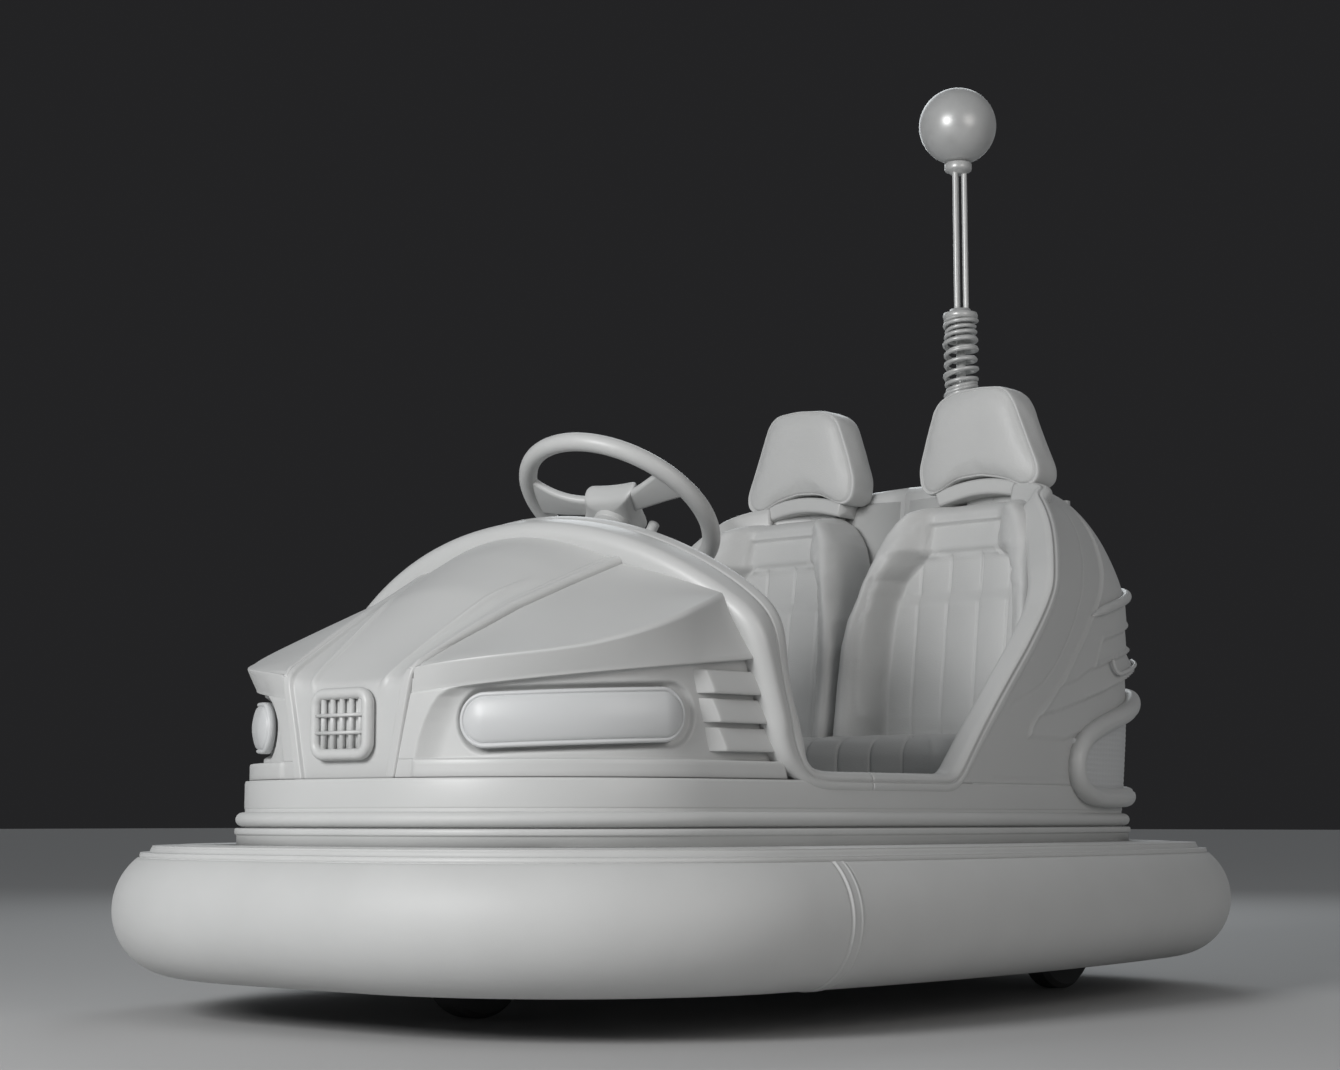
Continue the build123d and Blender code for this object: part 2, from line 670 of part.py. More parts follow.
with BuildPart() as side_rim_left:
    with BuildSketch(Plane.YZ):
        add(side_opening_face(0))
        add(side_opening_face(RIM_BAND), mode=Mode.SUBTRACT)
    extrude(amount=BODY.half_width + 2 * RIM_OUT)
    extrude(plan(grown(BODY, RIM_OUT), SILL_Z), amount=SIDE_SHOULDER[1] - SILL_Z, mode=Mode.INTERSECT)
    extrude(plan(grown(BODY, -RIM_IN), SILL_Z), amount=SIDE_SHOULDER[1] - SILL_Z, mode=Mode.SUBTRACT)

with BuildPart() as body_tub:
    extrude(plan(BODY, DECK_TOP), amount=BAND_TOP - DECK_TOP)
    extrude(plan(grown(BODY, -TUB_WALL), DECK_TOP + TUB_FLOOR_T), amount=BAND_TOP - DECK_TOP, mode=Mode.SUBTRACT)
    add(cockpit_space.part, mode=Mode.SUBTRACT)
    with BuildSketch(Plane.XY.offset(DECK_TOP + TUB_FLOOR_T)):
        with Locations((0, (CUSHION_FRONT_Y + CUSHION_REAR_Y) / 2)):
            Rectangle(2 * (SEAT_X + CUSHION_HALF), CUSHION_REAR_Y - CUSHION_FRONT_Y - SEAT_BOX_IN)
    extrude(amount=SEAT_BOX_Z - DECK_TOP - TUB_FLOOR_T)

with BuildPart() as seat_bays:
    for side in (-1, 1):
        with BuildSketch(Plane.XY.offset(BACK_TOP_Z - BAY_DROP)):
            with Locations((side * SEAT_X, 0)):
                Rectangle(
                    2 * (HEADREST_BOTTOM_HALF + BAY_CLEARANCE),
                    2 * (HEADREST_Y + HEADREST_DEPTH + BAY_BEHIND),
                )
        extrude(amount=BEYOND)

# ---------------------------------------------------------------- rear lamp and wings
lamp_back_turn = radians(REAR_LAMP_TURN)
REAR_LAMP_PLANE = Plane(
    origin=(REAR_LAMP_X, TAIL_Y - REAR_LAMP_FROM_TAIL, 0),
    x_dir=(cos(lamp_back_turn), sin(lamp_back_turn), 0),
    z_dir=(sin(lamp_back_turn), -cos(lamp_back_turn), 0),
)


def rear_lamp_prism(inside):
    """Block along the rear lamp's facing direction, rounded, with a top that climbs to the rear."""
    with BuildPart() as prism:
        with BuildSketch(REAR_LAMP_PLANE) as outline:
            with BuildLine():
                Polyline(
                    (-REAR_LAMP_FRONT, REAR_LAMP_LOW),
                    (-REAR_LAMP_FRONT, REAR_LAMP_FRONT_TOP),
                    (REAR_LAMP_REAR, REAR_LAMP_REAR_TOP),
                    (REAR_LAMP_REAR, REAR_LAMP_LOW),
                    close=True,
                )
            make_face()
            fillet(outline.vertices(), REAR_LAMP_ROUND)
            offset(amount=-inside)
        extrude(amount=LAMP_REACH, both=True)
    return prism.part


def wing_region(row):
    """What lies behind the wing's leading edge and above this plate's lower edge, out to the plate's face."""
    climb = (row.rear_z - row.front_z) / (TAIL_Y - row.front_y)
    reach_y = TAIL_Y + BEYOND
    line_start = row.front_z - row.front_y * climb
    with BuildPart() as region:
        with BuildSketch(Plane.YZ):
            with BuildLine():
                ThreePointArc(WING_TIP, WING_MID, WING_KNEE)
                Polyline(WING_KNEE, WING_TOP, (reach_y, WING_TOP[1]), (reach_y, BAND_TOP), WING_HEEL, WING_TIP)
            make_face()
            Polygon((0, line_start), (reach_y, line_start + reach_y * climb), (reach_y, 0), (0, 0), align=None,
                    mode=Mode.SUBTRACT)
        extrude(amount=BEYOND, both=True)
        add(rear_loft(row.thick), mode=Mode.INTERSECT)
        add(rear_lamp_prism(0), mode=Mode.SUBTRACT)
        add(rear_lamp_prism(0).mirror(Plane.YZ), mode=Mode.SUBTRACT)
    return region.part


with BuildPart() as rear_body:
    add(rear_mass)
    split(bisect_by=Plane.XZ, keep=Keep.BOTTOM)
    for row in WINGS:
        add(wing_region(row))
    add(rear_core, mode=Mode.SUBTRACT)
    add(cockpit_space.part, mode=Mode.SUBTRACT)
    add(seat_bays.part, mode=Mode.SUBTRACT)

with BuildPart() as rear_lamp_frame_left:
    extrude(plan(grown(BODY, REAR_LAMP_OUT), BAND_TOP), amount=REAR_LAMP_REAR_TOP - BAND_TOP)
    add(rear_lamp_prism(0), mode=Mode.INTERSECT)
    add(rear_lamp_prism(REAR_LAMP_FRAME), mode=Mode.SUBTRACT)
    add(rear_mass, mode=Mode.SUBTRACT)

with BuildPart() as rear_lens_left:
    extrude(plan(grown(BODY, REAR_LENS_OUT), BAND_TOP), amount=REAR_LAMP_REAR_TOP - BAND_TOP)
    add(rear_lamp_prism(REAR_LAMP_FRAME), mode=Mode.INTERSECT)
    add(rear_mass, mode=Mode.SUBTRACT)

# ---------------------------------------------------------------- seats
back_rake = radians(BACK_RAKE)
with BuildPart() as headrest_left:
    with BuildSketch(Plane.XZ.offset(-HEADREST_Y)) as headrest_face:
        low_left = (SEAT_X - HEADREST_BOTTOM_HALF, HEADREST_BOTTOM_Z)
        low_right = (SEAT_X + HEADREST_BOTTOM_HALF, HEADREST_BOTTOM_Z)
        with BuildLine():
            Polyline(
                low_left,
                (SEAT_X - HEADREST_TOP_HALF, HEADREST_TOP_Z),
                (SEAT_X + HEADREST_TOP_HALF, HEADREST_TOP_Z),
                low_right,
            )
            ThreePointArc(low_right, (SEAT_X, HEADREST_BOTTOM_Z + HEADREST_ARCH), low_left)
        make_face()
        fillet(headrest_face.vertices(), HEADREST_CORNER_R)
    extrude(amount=-HEADREST_DEPTH)
    fillet(headrest_left.faces().sort_by(Axis.Y)[0].edges(), HEADREST_ROUND)

with BuildPart() as rear_bulkhead:
    foot = BACK_FRONT_Y + BACK_DEPTH / cos(back_rake) + SOFT_GAP
    drop = (BACK_FOOT_Z - DECK_TOP - TUB_FLOOR_T) * tan(back_rake)
    rise = (BACK_TOP_Z - BACK_FOOT_Z) * tan(back_rake)
    with BuildSketch(Plane.YZ):
        with BuildLine():
            Polyline(
                (foot - drop, DECK_TOP + TUB_FLOOR_T),
                (foot + rise, BACK_TOP_Z),
                (foot + rise + BULKHEAD_T, BACK_TOP_Z),
                (foot - drop + BULKHEAD_T, DECK_TOP + TUB_FLOOR_T),
                close=True,
            )
        make_face()
    extrude(amount=BEYOND, both=True)
    add(rear_core + tub_void.part, mode=Mode.INTERSECT)
    neck_front = HEADREST_Y + NECK_INSET
    neck_rear = foot + rise + BULKHEAD_T
    for side in (-1, 1):
        with BuildSketch(Plane.XY.offset(BACK_TOP_Z + SOFT_GAP)):
            with Locations((side * SEAT_X, (neck_front + neck_rear) / 2)):
                Rectangle(NECK_WIDTH, neck_rear - neck_front)
        extrude(amount=HEADREST_BOTTOM_Z - BACK_TOP_Z + 2 * HEADREST_ARCH)
        with BuildSketch(Plane.XY.offset(BACK_TOP_Z - BAY_DROP)):
            with Locations((side * SEAT_X, neck_rear - BULKHEAD_T / 2)):
                Rectangle(NECK_WIDTH, BULKHEAD_T)
        extrude(amount=BAY_DROP + SOFT_GAP)
    seated = headrest_left.part.moved(Location((0, 0, -SOFT_GAP)))
    add(seated, mode=Mode.SUBTRACT)
    add(seated.mirror(Plane.YZ), mode=Mode.SUBTRACT)

with BuildPart() as cushion_left:
    with BuildSketch(Plane.XY.offset(SEAT_BOX_Z + SOFT_GAP)):
        with Locations((SEAT_X, (CUSHION_FRONT_Y + CUSHION_REAR_Y) / 2)):
            RectangleRounded(2 * CUSHION_HALF, CUSHION_REAR_Y - CUSHION_FRONT_Y, CUSHION_CORNER_R)
    extrude(amount=CUSHION_TOP - SEAT_BOX_Z - SOFT_GAP)
    fillet(cushion_left.edges().group_by(Axis.Z)[-1], CUSHION_ROUND)

# seat back: raked slab with a sunk insert between its bolsters
BACK_PLANE = Plane(
    origin=(SEAT_X, BACK_FRONT_Y, BACK_FOOT_Z),
    x_dir=(1, 0, 0),
    z_dir=(0, -cos(back_rake), sin(back_rake)),
)
back_height = (BACK_TOP_Z - BACK_FOOT_Z) / cos(back_rake)


def back_outline(foot_half, shoulder_half, top_half, height):
    """Symmetrical seat-back outline on its raked plane, from below the cushion up to the given height."""
    right = [
        (foot_half, -BACK_SKIRT),
        (shoulder_half, back_height * BACK_SHOULDER),
        (top_half, height),
    ]
    left = [(-x, z) for x, z in reversed(right)]
    with BuildSketch(BACK_PLANE) as outline:
        with BuildLine():
            Polyline(*right, *left, close=True)
        make_face()
    return outline.sketch


with BuildPart() as seat_back_left:
    extrude(back_outline(BACK_FOOT_HALF, BACK_SHOULDER_HALF, BACK_TOP_HALF, back_height), amount=-BACK_DEPTH)
    extrude(back_outline(INSERT_HALF, INSERT_HALF, INSERT_TOP_HALF, back_height * INSERT_TOP),
            amount=-INSERT_DEPTH, mode=Mode.SUBTRACT)
    front_edges = seat_back_left.faces().sort_by(Axis(BACK_PLANE.origin, BACK_PLANE.z_dir))[-1].edges()
    fillet(front_edges.filter_by(lambda edge: edge.center().Z > BACK_FOOT_Z), BACK_ROUND)
    add(back_space, mode=Mode.INTERSECT)
    split(bisect_by=Plane.XY.offset(CUSHION_TOP + SOFT_GAP), keep=Keep.TOP)

# ---------------------------------------------------------------- steering
wheel_lean = radians(WHEEL_LEAN)
WHEEL_AXIS = (0.0, cos(wheel_lean), sin(wheel_lean))
WHEEL_PLANE = Plane(origin=WHEEL_CENTRE, x_dir=(1, 0, 0), z_dir=WHEEL_AXIS)

with BuildPart() as steering_wheel:
    rim_start = WHEEL_PLANE.from_local_coords((WHEEL_R, 0, 0))
    with BuildSketch(Plane(origin=rim_start, x_dir=(1, 0, 0), z_dir=WHEEL_PLANE.y_dir)):
        Circle(WHEEL_TUBE_R)
    revolve(axis=Axis(WHEEL_CENTRE, WHEEL_AXIS))
    # flared spokes: one towards the driver, two rising to the sides
    with BuildSketch(WHEEL_PLANE.offset(-SPOKE_T / 2)):
        spoke = [
            (0, -SPOKE_HUB_W / 2),
            (PAD_WAIST_R, -SPOKE_HUB_W / 2),
            (WHEEL_R, -SPOKE_RIM_W / 2),
            (WHEEL_R, SPOKE_RIM_W / 2),
            (PAD_WAIST_R, SPOKE_HUB_W / 2),
            (0, SPOKE_HUB_W / 2),
        ]
        for turn in (90, -SPOKE_LIFT, 180 + SPOKE_LIFT):
            Polygon(*spoke, rotation=turn, align=None)
    extrude(amount=SPOKE_T)
    # four-cornered pad with hollow sides
    with BuildSketch(WHEEL_PLANE.offset(-PAD_T)):
        with BuildLine():
            for quarter in range(4):
                first, half, last = (radians(45 + 90 * quarter + step) for step in (0, 45, 90))
                ThreePointArc(
                    (PAD_CORNER_R * cos(first), PAD_CORNER_R * sin(first)),
                    (PAD_WAIST_R * cos(half), PAD_WAIST_R * sin(half)),
                    (PAD_CORNER_R * cos(last), PAD_CORNER_R * sin(last)),
                )
        make_face()
    extrude(amount=PAD_T + SPOKE_T)
    with BuildSketch(WHEEL_PLANE.offset(-STEER_HUB_DEPTH)):
        Circle(COLUMN_R)
    extrude(amount=STEER_HUB_DEPTH)

floor_z = DECK_TOP + TUB_FLOOR_T
column_drop = WHEEL_CENTRE[2] - floor_z - GEARBOX[2]
column_foot_y = WHEEL_CENTRE[1] - column_drop * WHEEL_AXIS[1] / WHEEL_AXIS[2]
with BuildPart() as steering_column:
    with BuildSketch(WHEEL_PLANE.offset(-STEER_HUB_DEPTH - COLUMN_END_GAP)):
        Circle(COLUMN_R)
    extrude(amount=-BEYOND)
    split(bisect_by=Plane.XY.offset(floor_z + GEARBOX[2]), keep=Keep.TOP)

with BuildPart() as steering_gearbox:
    with BuildSketch(Plane.XY.offset(floor_z)):
        with Locations((0, column_foot_y)):
            RectangleRounded(GEARBOX[0], GEARBOX[1], GEARBOX_ROUND)
    extrude(amount=GEARBOX[2])

with BuildPart() as dash:
    extrude(arch_face(ARCH_BAND), amount=-DASH_T)
    split(bisect_by=Plane.XY.offset(DASH_BOTTOM), keep=Keep.TOP)
    with BuildSketch(WHEEL_PLANE.offset(-STEER_HUB_DEPTH)):
        Circle(COLUMN_R + COLUMN_CLEARANCE)
    extrude(amount=-BEYOND, mode=Mode.SUBTRACT)

with BuildPart() as pedal:
    pedal_y = NOSE_Y + PEDAL_FROM_NOSE
    base_z = floor_z + PEDAL_SEAT
    reach_y = PEDAL_L * cos(radians(PEDAL_ANGLE))
    reach_z = PEDAL_L * sin(radians(PEDAL_ANGLE))
    with BuildSketch(Plane.XY.offset(floor_z)):
        with Locations((PEDAL_X, pedal_y)):
            Rectangle(PEDAL_W, PEDAL_FOOT[0])
    extrude(amount=PEDAL_FOOT[1])
    with BuildSketch(Plane.YZ.offset(PEDAL_X - PEDAL_W / 2)):
        with BuildLine():
            Polyline(
                (pedal_y, base_z),
                (pedal_y + PEDAL_T, base_z),
                (pedal_y - reach_y + PEDAL_T, base_z + reach_z),
                (pedal_y - reach_y, base_z + reach_z),
                close=True,
            )
        make_face()
    extrude(amount=PEDAL_W)

# ---------------------------------------------------------------- contact mast
with BuildPart() as mast_base:
    with Locations((0, MAST_Y, MAST_SEAT_Z)):
        Cylinder(MAST_TUBE_R, MAST_BASE_TOP - MAST_SEAT_Z, align=(Align.CENTER, Align.CENTER, Align.MIN))
        Cone(MAST_FLANGE_R, MAST_TUBE_R, MAST_CONE_H, align=(Align.CENTER, Align.CENTER, Align.MIN))
    for row in WINGS:
        add(rear_loft(row.thick), mode=Mode.SUBTRACT)

with BuildPart() as mast_spring:
    coil_pitch = (SPRING_TOP - MAST_BASE_TOP) / SPRING_COILS
    waist_r = SPRING_R - SPRING_WIRE_R
    with BuildSketch(Plane.XZ.offset(-MAST_Y)):
        with BuildLine():
            Polyline((waist_r, MAST_BASE_TOP), (0, MAST_BASE_TOP), (0, SPRING_TOP), (waist_r, SPRING_TOP))
            for turn in range(SPRING_COILS):
                high = SPRING_TOP - turn * coil_pitch
                ThreePointArc(
                    (waist_r, high),
                    (SPRING_R, high - coil_pitch / 2),
                    (waist_r, high - coil_pitch),
                )
        make_face()
    revolve(axis=Axis((0, MAST_Y, 0), (0, 0, 1)))

with BuildPart() as mast_rods:
    with Locations((0, MAST_Y, SPRING_TOP)):
        Cylinder(CAP_R, CAP_H, align=(Align.CENTER, Align.CENTER, Align.MIN))
        with PolarLocations(ROD_CIRCLE_R, ROD_COUNT):
            Cylinder(ROD_R, COLLAR_Z - SPRING_TOP, align=(Align.CENTER, Align.CENTER, Align.MIN))
    with Locations((0, MAST_Y, COLLAR_Z)):
        Cylinder(COLLAR_R, COLLAR_H, align=(Align.CENTER, Align.CENTER, Align.MIN))

with BuildPart() as contact_ball:
    with Locations((0, MAST_Y, BALL_Z)):
        Sphere(BALL_R)
    split(bisect_by=Plane.XY.offset(COLLAR_Z + COLLAR_H), keep=Keep.TOP)

# ---------------------------------------------------------------- chassis and running gear
rail_end = SEAM.half_length - RAIL_END_GAP
with BuildPart() as chassis_frame:
    with BuildSketch(Plane.XY.offset(SEAM_Z - RAIL_H)):
        for side in (-1, 1):
            with Locations((side * RAIL_X, 0)):
                Rectangle(RAIL_W, 2 * rail_end)
        for cross_y in (CROSS_IN - rail_end, *CROSS_MEMBERS, rail_end - CROSS_REAR_IN):
            with Locations((0, cross_y)):
                Rectangle(2 * RAIL_X, RAIL_W)
    extrude(amount=RAIL_H)
    # jacking pads under the rails
    with BuildSketch(Plane.XY.offset(SEAM_Z - RAIL_H)):
        for side in (-1, 1):
            for pad_y in JACK_PAD_Y:
                with Locations((side * RAIL_X, pad_y)):
                    Rectangle(JACK_PAD[0], JACK_PAD[1])
    extrude(amount=-JACK_PAD[2])
    # plate that the drive unit turns in
    with BuildSketch(Plane.XY.offset(FORK_TOP_Z + PIVOT_CLEARANCE)):
        with Locations((0, DRIVE_Y)):
            Rectangle(2 * RAIL_X, 2 * FORK_HALF)
    extrude(amount=SEAM_Z - FORK_TOP_Z - PIVOT_CLEARANCE)
    with BuildSketch(Plane.XY.offset(FORK_TOP_Z)):
        with Locations((0, DRIVE_Y)):
            Circle(KINGPIN_R + RUNNING_FIT)
    extrude(amount=SEAM_Z - FORK_TOP_Z, mode=Mode.SUBTRACT)

with BuildPart() as drive_fork:
    with Locations((0, DRIVE_Y, FORK_TOP_Z - FORK_TOP_T)):
        Cylinder(FORK_PLATE_R, FORK_TOP_T, align=(Align.CENTER, Align.CENTER, Align.MIN))
        Cylinder(
            KINGPIN_R,
            SEAM_Z - KINGPIN_GAP - FORK_TOP_Z + FORK_TOP_T,
            align=(Align.CENTER, Align.CENTER, Align.MIN),
        )
    for side in (-1, 1):
        with BuildSketch(Plane.YZ.offset(side * FORK_CHEEK_X - (FORK_CHEEK_T if side < 0 else 0))):
            with Locations((DRIVE_Y, WHEEL_RADIUS)):
                Circle(FORK_CHEEK_W / 2)
            with Locations((DRIVE_Y, (FORK_TOP_Z - FORK_TOP_T + WHEEL_RADIUS) / 2)):
                Rectangle(FORK_CHEEK_W, FORK_TOP_Z - FORK_TOP_T - WHEEL_RADIUS)
        extrude(amount=FORK_CHEEK_T)
    with BuildSketch(Plane.YZ.offset(-FORK_CHEEK_X - FORK_CHEEK_T)):
        with Locations((DRIVE_Y, WHEEL_RADIUS)):
            Circle(AXLE_R)
    extrude(amount=2 * (FORK_CHEEK_X + FORK_CHEEK_T))

with BuildPart() as drive_motor:
    with BuildSketch(Plane.YZ.offset(FORK_CHEEK_X + FORK_CHEEK_T)):
        with Locations((DRIVE_Y, WHEEL_RADIUS + MOTOR_RAISE)):
            Circle(MOTOR_R)
    extrude(amount=MOTOR_LENGTH)
    chamfer(drive_motor.faces().sort_by(Axis.X)[-1].edges(), MOTOR_CHAMFER)


def hub_at(x, y):
    """Wheel hub disc with its axle bore, centred at x, y on the axle height."""
    with BuildPart() as hub:
        with BuildSketch(Plane.YZ.offset(x - HUB_W / 2)):
            with Locations((y, WHEEL_RADIUS)):
                Circle(HUB_RADIUS)
                Circle(AXLE_R + RUNNING_FIT, mode=Mode.SUBTRACT)
        extrude(amount=HUB_W)
    return hub.part


def tyre_at(x, y):
    """Solid rubber tyre on the hub, with bevelled shoulders."""
    with BuildPart() as tyre:
        with BuildSketch(Plane.YZ.offset(x - TREAD_WIDTH / 2)):
            with Locations((y, WHEEL_RADIUS)):
                Circle(WHEEL_RADIUS)
        extrude(amount=TREAD_WIDTH)
        chamfer(tyre.edges().filter_by(GeomType.CIRCLE), TREAD_CHAMFER)
        with BuildSketch(Plane.YZ.offset(x - TREAD_WIDTH / 2)):
            with Locations((y, WHEEL_RADIUS)):
                Circle(HUB_RADIUS)
        extrude(amount=TREAD_WIDTH, mode=Mode.SUBTRACT)
    return tyre.part


with BuildPart() as drive_hub:
    add(hub_at(0, DRIVE_Y))

with BuildPart() as drive_tyre:
    add(tyre_at(0, DRIVE_Y))

with BuildPart() as rear_hub_left:
    add(hub_at(REAR_WHEEL_X, REAR_AXLE_Y))

with BuildPart() as rear_tyre_left:
    add(tyre_at(REAR_WHEEL_X, REAR_AXLE_Y))

with BuildPart() as rear_axle:
    with BuildSketch(Plane.YZ.offset(-REAR_WHEEL_X - HUB_W / 2)):
        with Locations((REAR_AXLE_Y, WHEEL_RADIUS)):
            Circle(AXLE_R)
    extrude(amount=2 * REAR_WHEEL_X + HUB_W)
    with BuildSketch(Plane.YZ.offset(-REAR_WHEEL_X + HUB_W / 2 + SIDE_GAP)):
        with Locations((REAR_AXLE_Y, WHEEL_RADIUS)):
            Circle(AXLE_TUBE_R)
    extrude(amount=2 * (REAR_WHEEL_X - HUB_W / 2 - SIDE_GAP))
    for side in (-1, 1):
        with BuildSketch(Plane.YZ.offset(side * RAIL_X - HANGER_T / 2)):
            with BuildLine():
                Polyline(
                    (REAR_AXLE_Y - HANGER_TOP_HALF, SEAM_Z - RAIL_H),
                    (REAR_AXLE_Y + HANGER_TOP_HALF, SEAM_Z - RAIL_H),
                    (REAR_AXLE_Y + HANGER_W, WHEEL_RADIUS - HANGER_W),
                    (REAR_AXLE_Y - HANGER_W, WHEEL_RADIUS - HANGER_W),
                    close=True,
                )
            make_face()
        extrude(amount=HANGER_T)

# ---------------------------------------------------------------- right-hand pieces and files
HANDED = {
    "fender": fender_left,
    "headlamp": headlamp_left,
    "side_rim": side_rim_left,
    "seat_cushion": cushion_left,
    "seat_back": seat_back_left,
    "headrest": headrest_left,
    "rear_lamp_frame": rear_lamp_frame_left,
    "rear_lens": rear_lens_left,
    "rear_hub": rear_hub_left,
    "rear_tyre": rear_tyre_left,
}
SINGLE = {
    "bumper_tyre": bumper_tyre,
    "bumper_channel": bumper_channel,
    "deck_plate": deck_plate,
    "base_skirt": base_skirt,
    "base_bead": base_bead,
    "body_tub": body_tub,
    "nose_spine": nose_spine,
    "grille": grille,
    "cockpit_arch": cockpit_arch,
    "dash": dash,
    "rear_body": rear_body,
    "rear_bulkhead": rear_bulkhead,
    "steering_wheel": steering_wheel,
    "steering_column": steering_column,
    "steering_gearbox": steering_gearbox,
    "pedal": pedal,
    "mast_base": mast_base,
    "mast_spring": mast_spring,
    "mast_rods": mast_rods,
    "contact_ball": contact_ball,
    "chassis_frame": chassis_frame,
    "drive_fork": drive_fork,
    "drive_motor": drive_motor,
    "drive_hub": drive_hub,
    "drive_tyre": drive_tyre,
    "rear_axle": rear_axle,
}

os.makedirs("parts", exist_ok=True)
for name, piece in SINGLE.items():
    piece.part.label = name
    export_step(piece.part, f"parts/{name}.step")
for name, piece in HANDED.items():
    piece.part.label = name + "_left"
    export_step(piece.part, f"parts/{name}_left.step")
    with BuildPart() as other_side:
        mirror(piece.part, about=Plane.YZ)
    other_side.part.label = name + "_right"
    export_step(other_side.part, f"parts/{name}_right.step")
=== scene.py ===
"""Two-seat fairground bumper car: the looks of every piece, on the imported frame."""

from __future__ import annotations

import json
import logging
import math
from collections.abc import Callable
from dataclasses import dataclass
from enum import Enum

import bmesh
import bpy
import numpy as np
from mathutils import Matrix, Vector
from mathutils.kdtree import KDTree

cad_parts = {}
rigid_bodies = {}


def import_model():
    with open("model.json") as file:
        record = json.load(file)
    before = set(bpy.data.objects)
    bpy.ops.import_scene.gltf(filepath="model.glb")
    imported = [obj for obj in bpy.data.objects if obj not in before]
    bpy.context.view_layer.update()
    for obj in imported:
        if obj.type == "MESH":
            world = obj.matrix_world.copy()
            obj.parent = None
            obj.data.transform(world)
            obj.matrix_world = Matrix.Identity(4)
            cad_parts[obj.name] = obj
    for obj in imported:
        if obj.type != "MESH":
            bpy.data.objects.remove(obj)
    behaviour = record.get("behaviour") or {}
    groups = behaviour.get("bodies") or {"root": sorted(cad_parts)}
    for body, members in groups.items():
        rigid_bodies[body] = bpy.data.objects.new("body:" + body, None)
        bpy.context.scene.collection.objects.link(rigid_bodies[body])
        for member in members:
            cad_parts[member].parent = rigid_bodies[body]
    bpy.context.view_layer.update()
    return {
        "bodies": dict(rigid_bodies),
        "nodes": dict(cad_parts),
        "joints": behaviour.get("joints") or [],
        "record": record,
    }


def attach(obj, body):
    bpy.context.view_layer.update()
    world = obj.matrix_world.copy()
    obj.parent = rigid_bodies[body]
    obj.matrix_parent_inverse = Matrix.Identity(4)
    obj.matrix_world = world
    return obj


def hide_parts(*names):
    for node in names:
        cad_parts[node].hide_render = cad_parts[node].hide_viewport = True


LOG = logging.getLogger("bumper_car")
CAR = "car"
HANDS = ("left", "right")
REARWARD = (0.0, 1.0, 0.0)
MIRROR = np.array([-1.0, 1.0, 1.0])
BULKHEAD_SLOPE = math.tan(math.radians(8.0))
MM = 0.001  # metres in a millimetre, the unit of every size below


# ---------------------------------------------------------------- small maths
def smooth(low: float, high: float, value: np.ndarray) -> np.ndarray:
    """Smooth step from 0 at low to 1 at high.

    Args:
        low: where the step starts.
        high: where the step ends.
        value: positions to evaluate.

    Returns:
        The step's height at each position.
    """
    part = np.clip((np.asarray(value, float) - low) / (high - low), 0.0, 1.0)
    return part * part * (3.0 - 2.0 * part)


def bump(centre: float, half: float, value: np.ndarray) -> np.ndarray:
    """Rounded hump of height 1 at centre that falls to 0 at the given half-width."""
    part = np.clip(np.abs(np.asarray(value, float) - centre) / half, 0.0, 1.0)
    return (1.0 - part * part) ** 2


def eased(line: np.ndarray, passes: int, closed: bool = False) -> np.ndarray:
    """A line of points with its corners eased by averaging neighbours.

    Args:
        line: the points, one row for each.
        passes: how many times to average.
        closed: whether the line is a loop; an open one keeps its ends.

    Returns:
        The eased points.
    """
    line = line.copy()
    for _ in range(passes):
        if closed:
            line = (np.roll(line, 1, axis=0) + 2.0 * line + np.roll(line, -1, axis=0)) / 4.0
        else:
            line[1:-1] = (line[:-2] + 2.0 * line[1:-1] + line[2:]) / 4.0
    return line


def curve_through(points: list[tuple[float, ...]], count: int, softness: int = 0) -> np.ndarray:
    """Evenly spaced points along a polyline, with its corners eased.

    Args:
        points: the corners of the line.
        count: how many points to return.
        softness: how many passes of easing its corners get.

    Returns:
        An array of count points.
    """
    corners = np.array(points, float)
    steps = np.r_[0.0, np.cumsum(np.linalg.norm(np.diff(corners, axis=0), axis=1))]
    places = np.linspace(0.0, steps[-1], count)
    line = np.stack([np.interp(places, steps, corners[:, axis]) for axis in range(corners.shape[1])], axis=1)
    return eased(line, softness)


